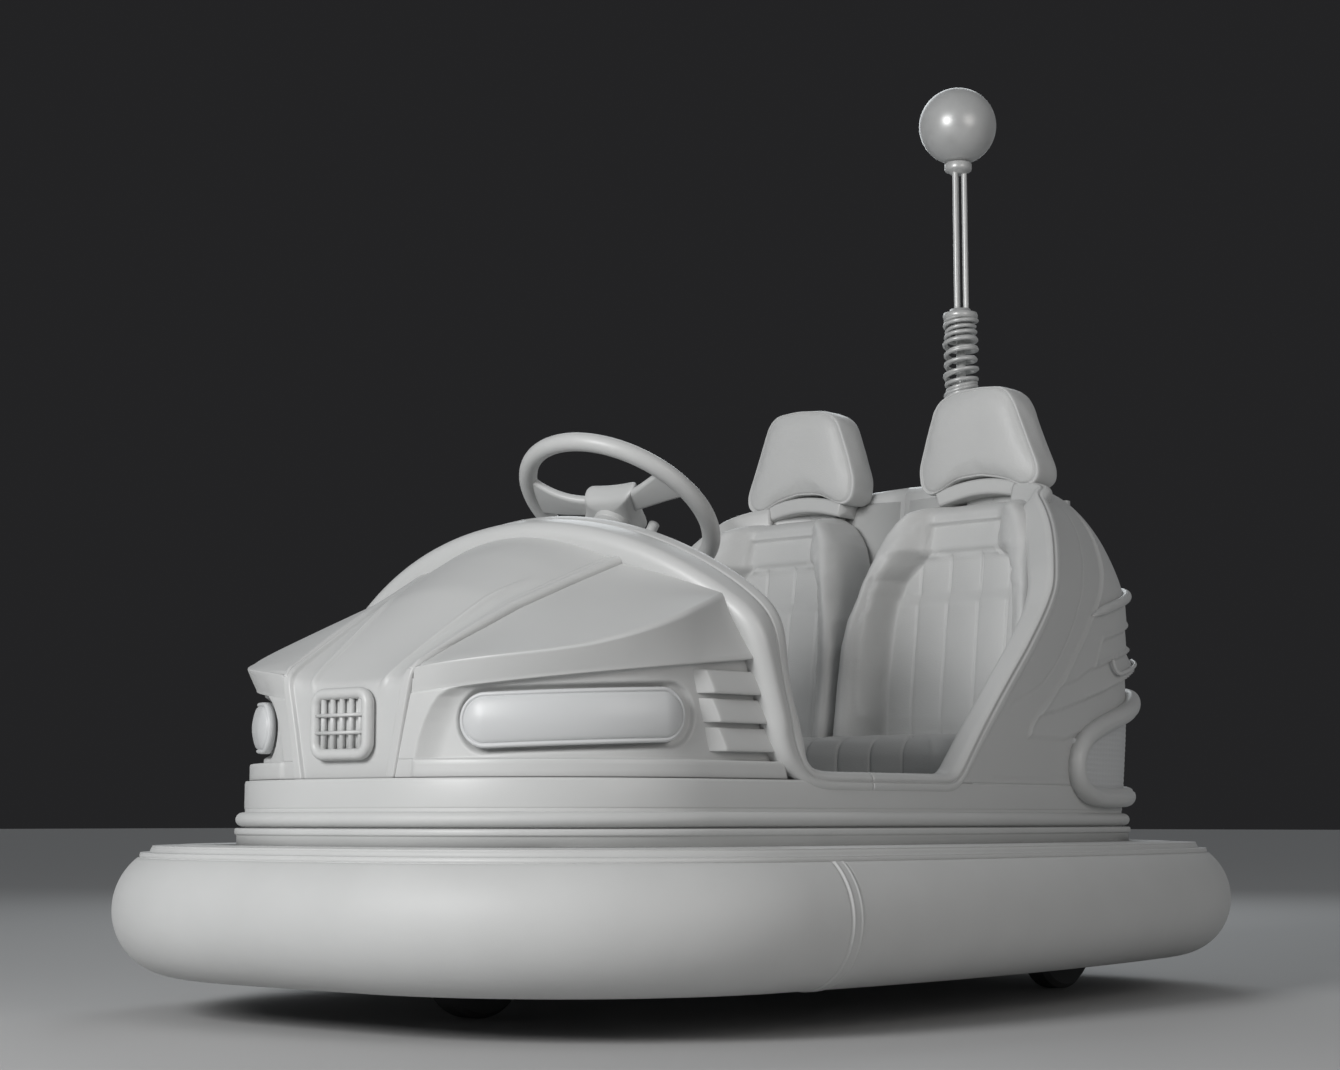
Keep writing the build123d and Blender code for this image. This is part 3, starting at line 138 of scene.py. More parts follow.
@dataclass(frozen=True)
class PlanOutline:
    """Plan of the car: two end arcs and two side arcs joined by round corners, in millimetres."""

    half_length: float
    half_width: float
    side_r: float
    end_r: float
    corner_r: float
    centre_y: float = 0.0

    def _turns(self) -> tuple[np.ndarray, np.ndarray, np.ndarray, float, float]:
        """Centres of the end, corner and side arcs, and the angles where each arc hands over."""
        side = np.array([self.half_width - self.side_r, 0.0])
        end = np.array([0.0, self.half_length - self.end_r])
        to_side, to_end = self.side_r - self.corner_r, self.end_r - self.corner_r
        across = end - side
        span = float(np.hypot(*across))
        along = (span**2 + to_side**2 - to_end**2) / (2.0 * span)
        unit = across / span
        corner = side + unit * along + np.array([-unit[1], unit[0]]) * math.sqrt(to_side**2 - along**2)
        end_turn = math.atan2(corner[0] - end[0], corner[1] - end[1])
        side_turn = math.atan2(corner[0] - side[0], corner[1] - side[1])
        return end, corner, side, end_turn, side_turn

    @property
    def quarter(self) -> float:
        """Length of a quarter of the outline."""
        _, _, _, end_turn, side_turn = self._turns()
        corner_run = self.corner_r * (side_turn - end_turn)
        return self.end_r * end_turn + corner_run + self.side_r * (math.pi / 2 - side_turn)

    def at(self, run: np.ndarray | float, out: np.ndarray | float = 0.0) -> np.ndarray:
        """Points on the outline, or on a parallel of it.

        Args:
            run: distance from the middle of the nose, positive along the car's left-hand side.
            out: distance outside the outline.

        Returns:
            An array of x and y, one row for each run.
        """
        end, corner, side, end_turn, side_turn = self._turns()
        run = np.asarray(run, float)
        whole = 4.0 * self.quarter
        wrapped = (run + whole / 2) % whole - whole / 2
        hand = np.where(wrapped < 0, -1.0, 1.0)
        folded = np.abs(wrapped)
        rear = folded > self.quarter
        folded = np.where(rear, 2.0 * self.quarter - folded, folded)
        first = self.end_r * end_turn
        second = first + self.corner_r * (side_turn - end_turn)
        on_end, on_corner = folded < first, folded < second
        turn = np.where(on_end, folded / self.end_r, np.where(
            on_corner, end_turn + (folded - first) / self.corner_r, side_turn + (folded - second) / self.side_r))
        radius = np.where(on_end, self.end_r, np.where(on_corner, self.corner_r, self.side_r))
        centre_x = np.where(on_end, end[0], np.where(on_corner, corner[0], side[0]))
        centre_y = np.where(on_end, end[1], np.where(on_corner, corner[1], side[1]))
        x = centre_x + (radius + out) * np.sin(turn)
        y = centre_y + (radius + out) * np.cos(turn)
        return np.stack([hand * x, self.centre_y + np.where(rear, y, -y)], axis=-1)

    def run_at_y(self, y: np.ndarray | float, out: float = 0.0) -> np.ndarray:
        """Run, along the left-hand side, at which the outline passes station y."""
        runs = np.linspace(0.0, 2.0 * self.quarter, 1600)
        return np.interp(y, self.at(runs, out)[:, 1], runs)

    def loop(self, count: int) -> np.ndarray:
        """Runs spread over the whole outline, closer together on its tight corners."""
        _, _, _, end_turn, side_turn = self._turns()
        first = self.end_r * end_turn
        second = first + self.corner_r * (side_turn - end_turn)
        share = count // 4
        keys = [0.0, 0.12 * share, 0.72 * share, float(share)]
        quarter = np.interp(np.arange(share), keys, [0.0, first, second, self.quarter])
        half = np.r_[quarter, self.quarter, 2.0 * self.quarter - quarter[::-1]]
        return np.r_[half, 4.0 * self.quarter - half[1:-1][::-1]]


SEAM = PlanOutline(960.0, 641.0, 3900.0, 6000.0, 470.0)
BODY = PlanOutline(866.0, 473.0, 3520.0, 6000.0, 362.0, 24.0)


# ---------------------------------------------------------------- finishes
@dataclass(frozen=True)
class Finish:
    """A procedural surface: a base colour with slow mottling, fine grain, pale worn edges with painted shade in its
    hollows, and its own gloss.
    """

    name: str
    colour: tuple[float, float, float]
    roughness: float = 0.5
    grain_scale: float = 900.0
    grain: float = 0.03
    mottle: float = 0.03
    mottle_scale: float = 6.0
    metallic: float = 0.0
    coat: float = 0.0
    sheen: float = 0.0
    # share by which edges are lightened as wear and hollows are darkened as painted shade
    wear_and_hollow_shade: float = 0.05
    voronoi: bool = False

    @staticmethod
    def _ranged(tree: bpy.types.NodeTree, source: bpy.types.NodeSocket, given: tuple[float, float],
                wanted: tuple[float, float]) -> bpy.types.NodeSocket:
        """Maps a socket's value from one range to another.

        Args:
            tree: the material's node tree.
            source: the socket to map.
            given: the range that goes in.
            wanted: the range that comes out.

        Returns:
            The mapped socket.
        """
        node = tree.nodes.new("ShaderNodeMapRange")
        for name, value in zip(("From Min", "From Max", "To Min", "To Max"), (*given, *wanted)):
            node.inputs[name].default_value = value
        tree.links.new(source, node.inputs["Value"])
        return node.outputs["Result"]

    def material(self) -> bpy.types.Material:
        """The node material, made once and then shared."""
        found = bpy.data.materials.get(self.name)
        if found:
            return found
        made = bpy.data.materials.new(self.name)
        made.use_nodes = True
        tree = made.node_tree
        nodes, links = tree.nodes, tree.links
        shader = nodes["Principled BSDF"]
        shader.inputs["Metallic"].default_value = self.metallic
        shader.inputs["Coat Weight"].default_value = self.coat
        shader.inputs["Coat Roughness"].default_value = 0.2
        shader.inputs["Sheen Weight"].default_value = self.sheen
        place = nodes.new("ShaderNodeTexCoord")
        cloud = nodes.new("ShaderNodeTexNoise")
        cloud.inputs["Scale"].default_value = self.mottle_scale
        cloud.inputs["Detail"].default_value = 4.0
        links.new(place.outputs["Object"], cloud.inputs["Vector"])
        grain = nodes.new("ShaderNodeTexVoronoi" if self.voronoi else "ShaderNodeTexNoise")
        grain.inputs["Scale"].default_value = self.grain_scale
        links.new(place.outputs["Object"], grain.inputs["Vector"])
        grain_out = grain.outputs["Distance" if self.voronoi else "Fac"]
        # slow change of shade over the surface
        shade = self._ranged(tree, cloud.outputs["Fac"], (0.3, 0.7), (1.0 - self.mottle, 1.0 + self.mottle))
        # pale rubbed edges, which are wear, and darker hollows, which are painted shade
        edge = nodes.new("ShaderNodeNewGeometry")
        # pointiness lightens convex edges (wear) and darkens concave hollows (painted shade)
        rub_and_hollow_shade = self._ranged(tree, edge.outputs["Pointiness"], (0.44, 0.56), (1.0 - self.wear_and_hollow_shade, 1.0 + self.wear_and_hollow_shade))
        both = nodes.new("ShaderNodeMath")
        both.operation = "MULTIPLY"
        links.new(shade, both.inputs[0])
        links.new(rub_and_hollow_shade, both.inputs[1])
        tint = nodes.new("ShaderNodeVectorMath")
        tint.operation = "SCALE"
        tint.inputs[0].default_value = self.colour
        links.new(both.outputs["Value"], tint.inputs["Scale"])
        links.new(tint.outputs["Vector"], shader.inputs["Base Color"])
        rough = (max(self.roughness - 0.06, 0.02), min(self.roughness + 0.06, 1.0))
        links.new(self._ranged(tree, cloud.outputs["Fac"], (0.0, 1.0), rough), shader.inputs["Roughness"])
        relief = nodes.new("ShaderNodeBump")
        relief.inputs["Strength"].default_value = self.grain
        relief.inputs["Distance"].default_value = 0.001
        links.new(grain_out, relief.inputs["Height"])
        links.new(relief.outputs["Normal"], shader.inputs["Normal"])
        return made


class Finishes(Enum):
    """Every surface finish on the car."""

    SHELL = Finish("moulded_shell_finish", (0.57, 0.575, 0.57), 0.42, 1400.0, 0.04, 0.015, 5.0, coat=0.08)
    BUMPER = Finish("bumper_rubber_finish", (0.56, 0.565, 0.56), 0.55, 700.0, 0.10, 0.02, 9.0)
    DECK = Finish("deck_paint_finish", (0.56, 0.565, 0.56), 0.45, 500.0, 0.05, 0.02, 8.0)
    TRIM = Finish("moulded_trim_finish", (0.57, 0.575, 0.57), 0.40, 1600.0, 0.05, 0.015, 7.0, coat=0.08)
    VINYL = Finish("seat_vinyl_finish", (0.60, 0.605, 0.60), 0.46, 420.0, 0.22, 0.02, 12.0, sheen=0.1,
                   voronoi=True)
    LENS = Finish("lamp_lens_finish", (0.60, 0.61, 0.615), 0.42, 300.0, 0.02, 0.01, 5.0, coat=0.1)
    STEEL = Finish("bare_steel_finish", (0.58, 0.585, 0.58), 0.34, 1200.0, 0.05, 0.03, 30.0, metallic=0.25)
    CHASSIS = Finish("chassis_paint_finish", (0.16, 0.165, 0.165), 0.5, 600.0, 0.12, 0.12, 20.0, wear_and_hollow_shade=0.2)
    MOTOR = Finish("cast_motor_finish", (0.20, 0.20, 0.20), 0.6, 350.0, 0.3, 0.1, 18.0, metallic=0.3)
    WHEEL = Finish("wheel_rubber_finish", (0.07, 0.07, 0.07), 0.7, 500.0, 0.2, 0.15, 25.0)
# ---------------------------------------------------------------- mesh making
def grid_faces(rows: int, cols: int, wrap_rows: bool = False, wrap_cols: bool = False) -> np.ndarray:
    """Quads of a grid of points stored row by row.

    Args:
        rows: number of rows.
        cols: number of points in a row.
        wrap_rows: whether the last row joins the first.
        wrap_cols: whether a row's last point joins its first.

    Returns:
        An array of four point numbers for each quad.
    """
    row = np.arange(rows if wrap_rows else rows - 1)[:, None]
    col = np.arange(cols if wrap_cols else cols - 1)[None, :]
    next_row, next_col = (row + 1) % rows, (col + 1) % cols
    quads = [row * cols + col, row * cols + next_col, next_row * cols + next_col, next_row * cols + col]
    return np.stack([np.broadcast_to(q, (row.size, col.size)) for q in quads], axis=-1).reshape(-1, 4)


def closed_sheet(outer: np.ndarray, inner: np.ndarray, step: int = 4) -> tuple[np.ndarray, np.ndarray]:
    """A sheet with thickness: a fine outside and a coarser inside, joined round their borders.

    Args:
        outer: rows, columns and coordinates of the outside.
        inner: the same for the inside, of which only every few rows and columns are used.
        step: how many rows and columns of the inside are left out at a time.

    Returns:
        Its points and its faces.
    """
    rows, cols = outer.shape[:2]
    row_at = np.unique(np.r_[np.arange(0, rows, step), rows - 1])
    col_at = np.unique(np.r_[np.arange(0, cols, step), cols - 1])
    count, back_cols = rows * cols, len(col_at)
    points = np.concatenate([outer.reshape(-1, 3), inner[np.ix_(row_at, col_at)].reshape(-1, 3)])
    back = grid_faces(len(row_at), back_cols)[:, ::-1] + count
    faces = [grid_faces(rows, cols), back]
    last_row, last_col = (len(row_at) - 1) * back_cols, back_cols - 1
    # for each border: where the inside is joined, then first number and stride outside and inside
    borders = (
        (col_at, 0, 1, 0, 1),
        (row_at, cols - 1, cols, last_col, back_cols),
        (col_at, (rows - 1) * cols, 1, last_row, 1),
        (row_at, 0, cols, 0, back_cols),
    )
    for places, front, stride, behind, back_stride in borders:
        strip = []
        for k, (low, high) in enumerate(zip(places[:-1], places[1:])):
            half = (low + high) // 2
            near, far = count + behind + k * back_stride, count + behind + (k + 1) * back_stride
            for j in range(low, high):
                if j == half:
                    strip.append((front + half * stride, far, near, near))
                close = near if j < half else far
                strip.append((front + j * stride, front + (j + 1) * stride, close, close))
        faces.append(np.array(strip))
    return points, np.concatenate(faces)


def frames_along(path: np.ndarray, up: np.ndarray, closed: bool = False) -> tuple[np.ndarray, np.ndarray]:
    """Two directions square to a path at each of its points.

    Args:
        path: the points of the path.
        up: a direction to lean towards, one for all points or one for each.
        closed: whether the path is a loop.

    Returns:
        The sideways and the upward directions, one row for each point.
    """
    if closed:
        run = np.roll(path, -1, axis=0) - np.roll(path, 1, axis=0)
    else:
        run = np.gradient(path, axis=0)
    run /= np.linalg.norm(run, axis=1)[:, None]
    lean = np.broadcast_to(np.asarray(up, float), path.shape)
    side = np.cross(run, lean)
    side /= np.linalg.norm(side, axis=1)[:, None]
    return side, np.cross(side, run)


def capped(points: np.ndarray) -> tuple[np.ndarray, np.ndarray]:
    """Rows of closed rings as one tube whose ends are closed by fans round a middle point.

    Args:
        points: rings, points in a ring and coordinates.

    Returns:
        The points and the faces.
    """
    rows, cols = points.shape[:2]
    ring = np.arange(cols)
    after, last = np.roll(ring, -1), (rows - 1) * cols
    start = np.stack([ring, np.full(cols, rows * cols), after, after], axis=-1)
    end = np.stack([after + last, np.full(cols, rows * cols + 1), ring + last, ring + last], axis=-1)
    middles = np.stack([points[0].mean(axis=0), points[-1].mean(axis=0)])
    return (np.concatenate([points.reshape(-1, 3), middles]),
            np.concatenate([grid_faces(rows, cols, False, True), start, end]))


def sweep(path: np.ndarray, side: np.ndarray, rise: np.ndarray, section: np.ndarray,
          closed: bool = False) -> tuple[np.ndarray, np.ndarray]:
    """Carries a closed section along a path.

    Args:
        path: the points of the path.
        side: sideways direction at each point.
        rise: upward direction at each point.
        section: sideways and upward sizes, either one section or one for each point of the path.
        closed: whether the path is a loop; an open one gets end caps.

    Returns:
        The points and the faces; caps are fans round a middle point.
    """
    outline = np.broadcast_to(section, (len(path),) + section.shape[-2:])
    points = (path[:, None, :] + outline[:, :, :1] * side[:, None, :] + outline[:, :, 1:] * rise[:, None, :])
    if not closed:
        return capped(points)
    rows, cols = points.shape[:2]
    return points.reshape(-1, 3), grid_faces(rows, cols, True, True)


def rod(path: np.ndarray, section: np.ndarray, up: tuple[float, float, float] | np.ndarray = (0.0, 0.0, 1.0),
        closed: bool = False) -> tuple[np.ndarray, np.ndarray]:
    """Carries a section along a path, turned to face the given direction.

    Args:
        path: the points of the path.
        section: one section, or one for each point of the path.
        up: the direction that the section's second size leans towards.
        closed: whether the path is a loop.

    Returns:
        The points and the faces.
    """
    side, rise = frames_along(path, up, closed)
    return sweep(path, side, rise, section, closed)


def rounded_box(wide: float, high: float, radius: float, steps: int = 6) -> np.ndarray:
    """Outline of a rectangle with round corners, centred on zero."""
    turns = np.linspace(0.0, math.pi / 2, steps)
    corner = np.stack([np.cos(turns), np.sin(turns)], axis=-1) * radius
    inset = np.array([wide / 2 - radius, high / 2 - radius])
    parts = []
    for quarter in range(4):
        turn = quarter * math.pi / 2
        spin = np.array([[math.cos(turn), math.sin(turn)], [-math.sin(turn), math.cos(turn)]])
        signs = ((1, 1), (-1, 1), (-1, -1), (1, -1))[quarter]
        parts.append(corner @ spin + inset * signs)
    return np.concatenate(parts)


def circle(radius: float, steps: int = 24) -> np.ndarray:
    """Outline of a circle."""
    turns = np.linspace(0.0, 2.0 * math.pi, steps, endpoint=False)
    return np.stack([np.cos(turns), np.sin(turns)], axis=-1) * radius


def mirrored(points: np.ndarray, faces: np.ndarray) -> tuple[np.ndarray, np.ndarray]:
    """The same shape on the car's other side."""
    return points * MIRROR, faces[:, ::-1]


def on_hand(hand: str, shape: tuple[np.ndarray, np.ndarray]) -> tuple[np.ndarray, np.ndarray]:
    """A left-hand shape as it stands on the given hand."""
    return shape if hand == "left" else mirrored(*shape)


def merged(shapes: list[tuple[np.ndarray, np.ndarray]]) -> tuple[np.ndarray, np.ndarray]:
    """Several shapes as one set of points and faces."""
    points, faces, count = [], [], 0
    for shape_points, shape_faces in shapes:
        points.append(shape_points)
        faces.append(shape_faces + count)
        count += len(shape_points)
    return np.concatenate(points), np.concatenate(faces)


def mesh_object(name: str, points: np.ndarray, faces: np.ndarray) -> bpy.types.Object:
    """Makes a smooth-shaded object whose faces point outwards.

    Args:
        name: the object's name.
        points: its points in millimetres.
        faces: its quads; a quad that repeats a point becomes a triangle.

    Returns:
        The new object, at the origin.
    """
    mesh = bpy.data.meshes.new(name)
    lists = [tuple(dict.fromkeys(face)) for face in faces.tolist()]
    mesh.from_pydata((points * MM).tolist(), [], [face for face in lists if len(face) > 2])
    tidy = bmesh.new()
    tidy.from_mesh(mesh)
    bmesh.ops.remove_doubles(tidy, verts=tidy.verts, dist=0.00001)
    bmesh.ops.recalc_face_normals(tidy, faces=tidy.faces)
    tidy.to_mesh(mesh)
    tidy.free()
    mesh.shade_smooth()
    made = bpy.data.objects.new(name, mesh)
    bpy.context.scene.collection.objects.link(made)
    return made


def dress(piece: bpy.types.Object, finish: Finishes, replaces: tuple[str, ...] = (),
          body: str = CAR) -> bpy.types.Object:
    """Gives a finished piece its material, its body and the nodes that it stands for.

    Args:
        piece: the piece.
        finish: its surface finish.
        replaces: the CAD nodes that it stands for.
        body: the CAD body that it moves with.

    Returns:
        The same piece.
    """
    piece.data.materials.clear()
    piece.data.materials.append(finish.value.material())
    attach(piece, body)
    if replaces:
        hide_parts(*replaces)
    count = sum(len(face.vertices) - 2 for face in piece.data.polygons)
    LOG.info("%s: %d triangles", piece.name, count)
    return piece


def pair(name: str, shape: tuple[np.ndarray, np.ndarray], finish: Finishes,
         nodes: tuple[str, ...] = ()) -> None:
    """Makes and dresses a left-hand piece and its mirrored twin.

    Args:
        name: the pieces' name, without the hand.
        shape: points and faces of the left-hand one.
        finish: their surface finish.
        nodes: the CAD nodes that they stand for, with {hand} in place of the hand.
    """
    for hand in HANDS:
        piece = mesh_object(f"{name}_{hand}", *on_hand(hand, shape))
        dress(piece, finish, tuple(node.format(hand=hand) for node in nodes))


def settled(piece: bpy.types.Object, *modifiers: tuple[str, dict]) -> bpy.types.Object:
    """Adds modifiers to a piece and applies them.

    Args:
        piece: the piece.
        modifiers: pairs of a modifier type and its settings, in order.

    Returns:
        The same piece, with a plain mesh.
    """
    for kind, values in modifiers:
        added = piece.modifiers.new(kind.lower(), kind)
        for key, value in values.items():
            setattr(added, key, value)
    graph = bpy.context.evaluated_depsgraph_get()
    graph.update()
    fresh = bpy.data.meshes.new_from_object(piece.evaluated_get(graph), depsgraph=graph)
    old = piece.data
    piece.modifiers.clear()
    piece.data = fresh
    bpy.data.meshes.remove(old)
    fresh.shade_smooth()
    return piece
# ---------------------------------------------------------------- node trees
class Tree:
    """A geometry node tree with named inputs that ends in Realize Instances and Set Material."""

    def __init__(self, name: str) -> None:
        """Starts an empty tree with a geometry input and output."""
        self.group = bpy.data.node_groups.new(name, "GeometryNodeTree")
        self.group.interface.new_socket("Geometry", in_out="INPUT", socket_type="NodeSocketGeometry")
        self.group.interface.new_socket("Geometry", in_out="OUTPUT", socket_type="NodeSocketGeometry")
        self.start = self.group.nodes.new("NodeGroupInput")
        self.identifiers: dict[str, str] = {}

    def value(self, name: str, kind: str) -> bpy.types.NodeSocket:
        """Adds a named input.

        Args:
            name: the input's name.
            kind: Float, Int, Vector or Material.

        Returns:
            The socket that carries it.
        """
        socket = self.group.interface.new_socket(name, in_out="INPUT", socket_type=f"NodeSocket{kind}")
        self.identifiers[name] = socket.identifier
        return self.start.outputs[name]

    def node(self, kind: str, **inputs: object) -> bpy.types.Node:
        """Adds a node and fills its inputs with sockets or plain values."""
        made = self.group.nodes.new(kind)
        for key, given in inputs.items():
            target = made.inputs[key.replace("_", " ")]
            if isinstance(given, bpy.types.NodeSocket):
                self.group.links.new(given, target)
            else:
                target.default_value = given
        return made

    def finish(self, geometry: bpy.types.NodeSocket) -> None:
        """Ends the tree with real geometry that carries its material."""
        material = self.value("Finish", "Material")
        real = self.node("GeometryNodeRealizeInstances", Geometry=geometry)
        painted = self.node("GeometryNodeSetMaterial", Geometry=real.outputs[0], Material=material)
        end = self.group.nodes.new("NodeGroupOutput")
        self.group.links.new(painted.outputs[0], end.inputs[0])

    def run(self, name: str, base: bpy.types.Mesh, values: dict[str, object],
            place: tuple[float, float, float] = (0.0, 0.0, 0.0)) -> bpy.types.Object:
        """Runs the tree once and keeps its result as a plain mesh.

        Args:
            name: name of the new object.
            base: the mesh that the tree works on.
            values: a value for each named input.
            place: where the result is moved to, in millimetres.

        Returns:
            The finished object, at the origin.
        """
        made = bpy.data.objects.new(name, base)
        bpy.context.scene.collection.objects.link(made)
        modifier = made.modifiers.new("tree", "NODES")
        modifier.node_group = self.group
        for key, given in values.items():
            modifier[self.identifiers[key]] = given
        graph = bpy.context.evaluated_depsgraph_get()
        graph.update()
        mesh = bpy.data.meshes.new_from_object(made.evaluated_get(graph), depsgraph=graph)
        made.modifiers.clear()
        made.data = mesh
        bpy.data.meshes.remove(base)
        mesh.transform(Matrix.Translation(Vector(place) * MM))
        mesh.shade_smooth()
        return made


@dataclass
class BarRow:
    """A row of equal round bars, made by a node tree."""

    count: int
    spacing: tuple[float, float, float]
    radius: float
    length: float
    turn_deg: tuple[float, float, float]

    def make(self, name: str, centre: tuple[float, float, float]) -> bpy.types.Object:
        """Builds the row.

        Args:
            name: name of the new object.
            centre: middle of the row, in millimetres.

        Returns:
            The row as one plain mesh.
        """
        tree = Tree("bar_row")
        count, spacing = tree.value("Count", "Int"), tree.value("Spacing", "Vector")
        radius, length = tree.value("Radius", "Float"), tree.value("Length", "Float")
        turn = tree.value("Turn", "Vector")
        line = tree.node("GeometryNodeMeshLine", Count=count, Offset=spacing)
        bar = tree.node("GeometryNodeMeshCylinder", Radius=radius, Depth=length, Vertices=20, Side_Segments=1)
        bar.fill_type = "TRIANGLE_FAN"
        placed = tree.node("GeometryNodeInstanceOnPoints", Points=line.outputs[0], Instance=bar.outputs[0],
                           Rotation=turn)
        tree.finish(placed.outputs[0])
        half = [-0.5 * (self.count - 1) * step for step in self.spacing]
        place = tuple(c + h for c, h in zip(centre, half))
        return tree.run(name, bpy.data.meshes.new(name), {
            "Count": self.count, "Spacing": [step * MM for step in self.spacing], "Radius": self.radius * MM,
            "Length": self.length * MM, "Turn": [math.radians(a) for a in self.turn_deg]}, place)
# ---------------------------------------------------------------- base
@dataclass
class Base:
    """Bumper tyre, deck, and the rings that step up from the deck to the body."""

    tyre_r: float = 100.0
    tyre_in: float = 60.0
    tyre_z: float = 160.0
    tyre_web_in: float = 112.0
    seam_z: float = 237.0
    lip_in: float = 80.0
    lip_z: float = 84.0
    join_y: float = -480.0
    join_half: float = 8.0
    join_height: float = 1.6
    columns: int = 480

    def ring(self, name: str, outline: PlanOutline, section: list[tuple[float, float]]) -> bpy.types.Object:
        """A closed section of (out, height) carried round an outline."""
        runs = outline.loop(self.columns)
        rows = [np.c_[outline.at(runs, out), np.full(len(runs), z)] for out, z in section]
        points = np.stack(rows)
        return mesh_object(name, points.reshape(-1, 3), grid_faces(len(section), len(runs), True, True))

    def tyre(self) -> None:
        """Round rubber bumper with a moulded join on its left-hand side."""
        top = math.asin((self.seam_z - self.tyre_z) / self.tyre_r)
        low = -math.acos((self.tyre_in - self.lip_in) / self.tyre_r)
        turns = np.linspace(top, low, 44)
        section = [(-self.tyre_web_in, self.lip_z), (-self.tyre_web_in, self.seam_z - 1.0),
                   (-self.tyre_web_in + 1.0, self.seam_z), (-14.0, self.seam_z)]
        section += [(-self.tyre_in + self.tyre_r * math.cos(t), self.tyre_z + self.tyre_r * math.sin(t)) for t in turns]
        section += [(-self.lip_in, self.lip_z)]
        runs = SEAM.loop(self.columns)
        join = float(SEAM.run_at_y(self.join_y))
        near = np.abs(runs - join) < 26.0
        fine = join + np.linspace(-25.0, 25.0, 41)
        runs = np.sort(np.r_[runs[~near], fine])
        away = np.abs(runs - join)
        swell = self.join_height * (bump(self.join_half, 3.0, away) - 0.8 * bump(self.join_half + 4.5, 2.5, away)
                                    + 0.35 * smooth(self.join_half, self.join_half - 4.0, away))
        rows = []
        for index, (out, z) in enumerate(section):
            lift = swell if 4 <= index < len(section) - 2 else 0.0 * swell
            dx, dz = out + self.tyre_in, z - self.tyre_z
            length = max(math.hypot(dx, dz), 1.0)
            place = SEAM.at(runs, out + lift * dx / length)
            rows.append(np.c_[place, z + lift * dz / length])
        faces = grid_faces(len(rows), len(runs), True, True)
        piece = mesh_object("bumper_ring", np.concatenate(rows), faces)
        dress(piece, Finishes.BUMPER, ("bumper_tyre",))

    def deck(self) -> None:
        """Flat deck with a stepped, softened edge and a shallow outer groove."""
        steps = [(-24.0, 237.4), (-0.5, 237.4), (0.6, 238.6), (0.6, 242.0), (-0.8, 244.2), (-3.0, 245.0),
                 (-13.0, 245.2), (-14.6, 246.2), (-15.4, 249.0), (-17.2, 252.4), (-20.0, 254.2), (-24.0, 255.0),
                 (-58.0, 255.2), (-60.5, 256.4), (-63.0, 256.8), (-140.0, 256.8)]
        runs = SEAM.loop(self.columns)
        rows = [np.c_[SEAM.at(runs, out), np.full(len(runs), z)] for out, z in steps]
        low = np.c_[SEAM.at(runs, -140.0), np.full(len(runs), 237.4)]
        points = np.stack([low] + rows)
        piece = mesh_object("deck_edge", points.reshape(-1, 3), grid_faces(len(points), len(runs), True, True))
        dress(piece, Finishes.DECK)

    def rings(self) -> None:
        """Skirt with its lip, the round bead and the plain band under the cowl."""
        skirt = [(-3.0, 255.4), (12.0, 255.4), (12.0, 270.0), (13.0, 271.6), (14.6, 272.4), (15.2, 274.0),
                 (15.2, 279.0), (14.2, 281.0), (12.0, 281.6), (4.0, 281.6), (-3.0, 281.6)]
        piece = self.ring("skirt_ring", BODY, skirt)
        dress(piece, Finishes.DECK, ("base_skirt",))
        turns = np.linspace(math.radians(-86), math.radians(86), 15)
        round_face = [(2.0 + 12.0 * math.cos(t), 294.5 + 10.9 * math.sin(t)) for t in turns]
        bead = [(-3.0, 283.6), *round_face, (-3.0, 305.4)]
        piece = self.ring("bead_ring", BODY, bead)
        dress(piece, Finishes.BUMPER, ("base_bead",))
        band = [(-16.0, 281.0), (-1.5, 281.0), (-1.5, 309.0), (0.6, 310.6), (0.9, 313.0), (0.9, 348.0), (0.2, 350.6),
                (-2.0, 352.0), (-16.0, 352.0)]
        piece = self.ring("body_band", BODY, band)
        dress(piece, Finishes.SHELL)

    def build(self) -> None:
        """Builds the whole base."""
        self.tyre()
        self.deck()
        self.rings()
# ---------------------------------------------------------------- front bodywork
ARCH_LEAN = math.radians(15.8)


def arch_y(z: np.ndarray | float, behind: float = 0.0) -> np.ndarray | float:
    """Where the leaning arch plane, or one the given distance behind it, stands at height z."""
    return -335.0 + behind / math.cos(ARCH_LEAN) - (z - 337.0) * math.tan(ARCH_LEAN)


# line where spine and fender meet: x, y, z from the foot of the nose to the arch
JOINT_LINE = np.array([
    (105.0, -828.0, 352.0), (122.0, -828.0, 433.0), (137.0, -828.0, 499.0), (142.0, -816.0, 512.0),
    (150.0, -750.0, 547.0), (165.0, -648.0, 599.0), (189.0, -550.0, 643.0), (215.0, -466.0, 680.0),
    (232.0, -410.0, 706.0),
])
# line up the middle of the nose and hood
CROWN_LINE = np.array([
    (0.0, -828.0, 352.0), (0.0, -828.0, 430.0), (0.0, -828.0, 483.0), (0.0, -806.0, 503.0),
    (0.0, -750.0, 551.0), (0.0, -648.0, 638.0), (0.0, -550.0, 700.0), (0.0, -466.0, 741.0),
    (0.0, -410.0, 768.0),
])


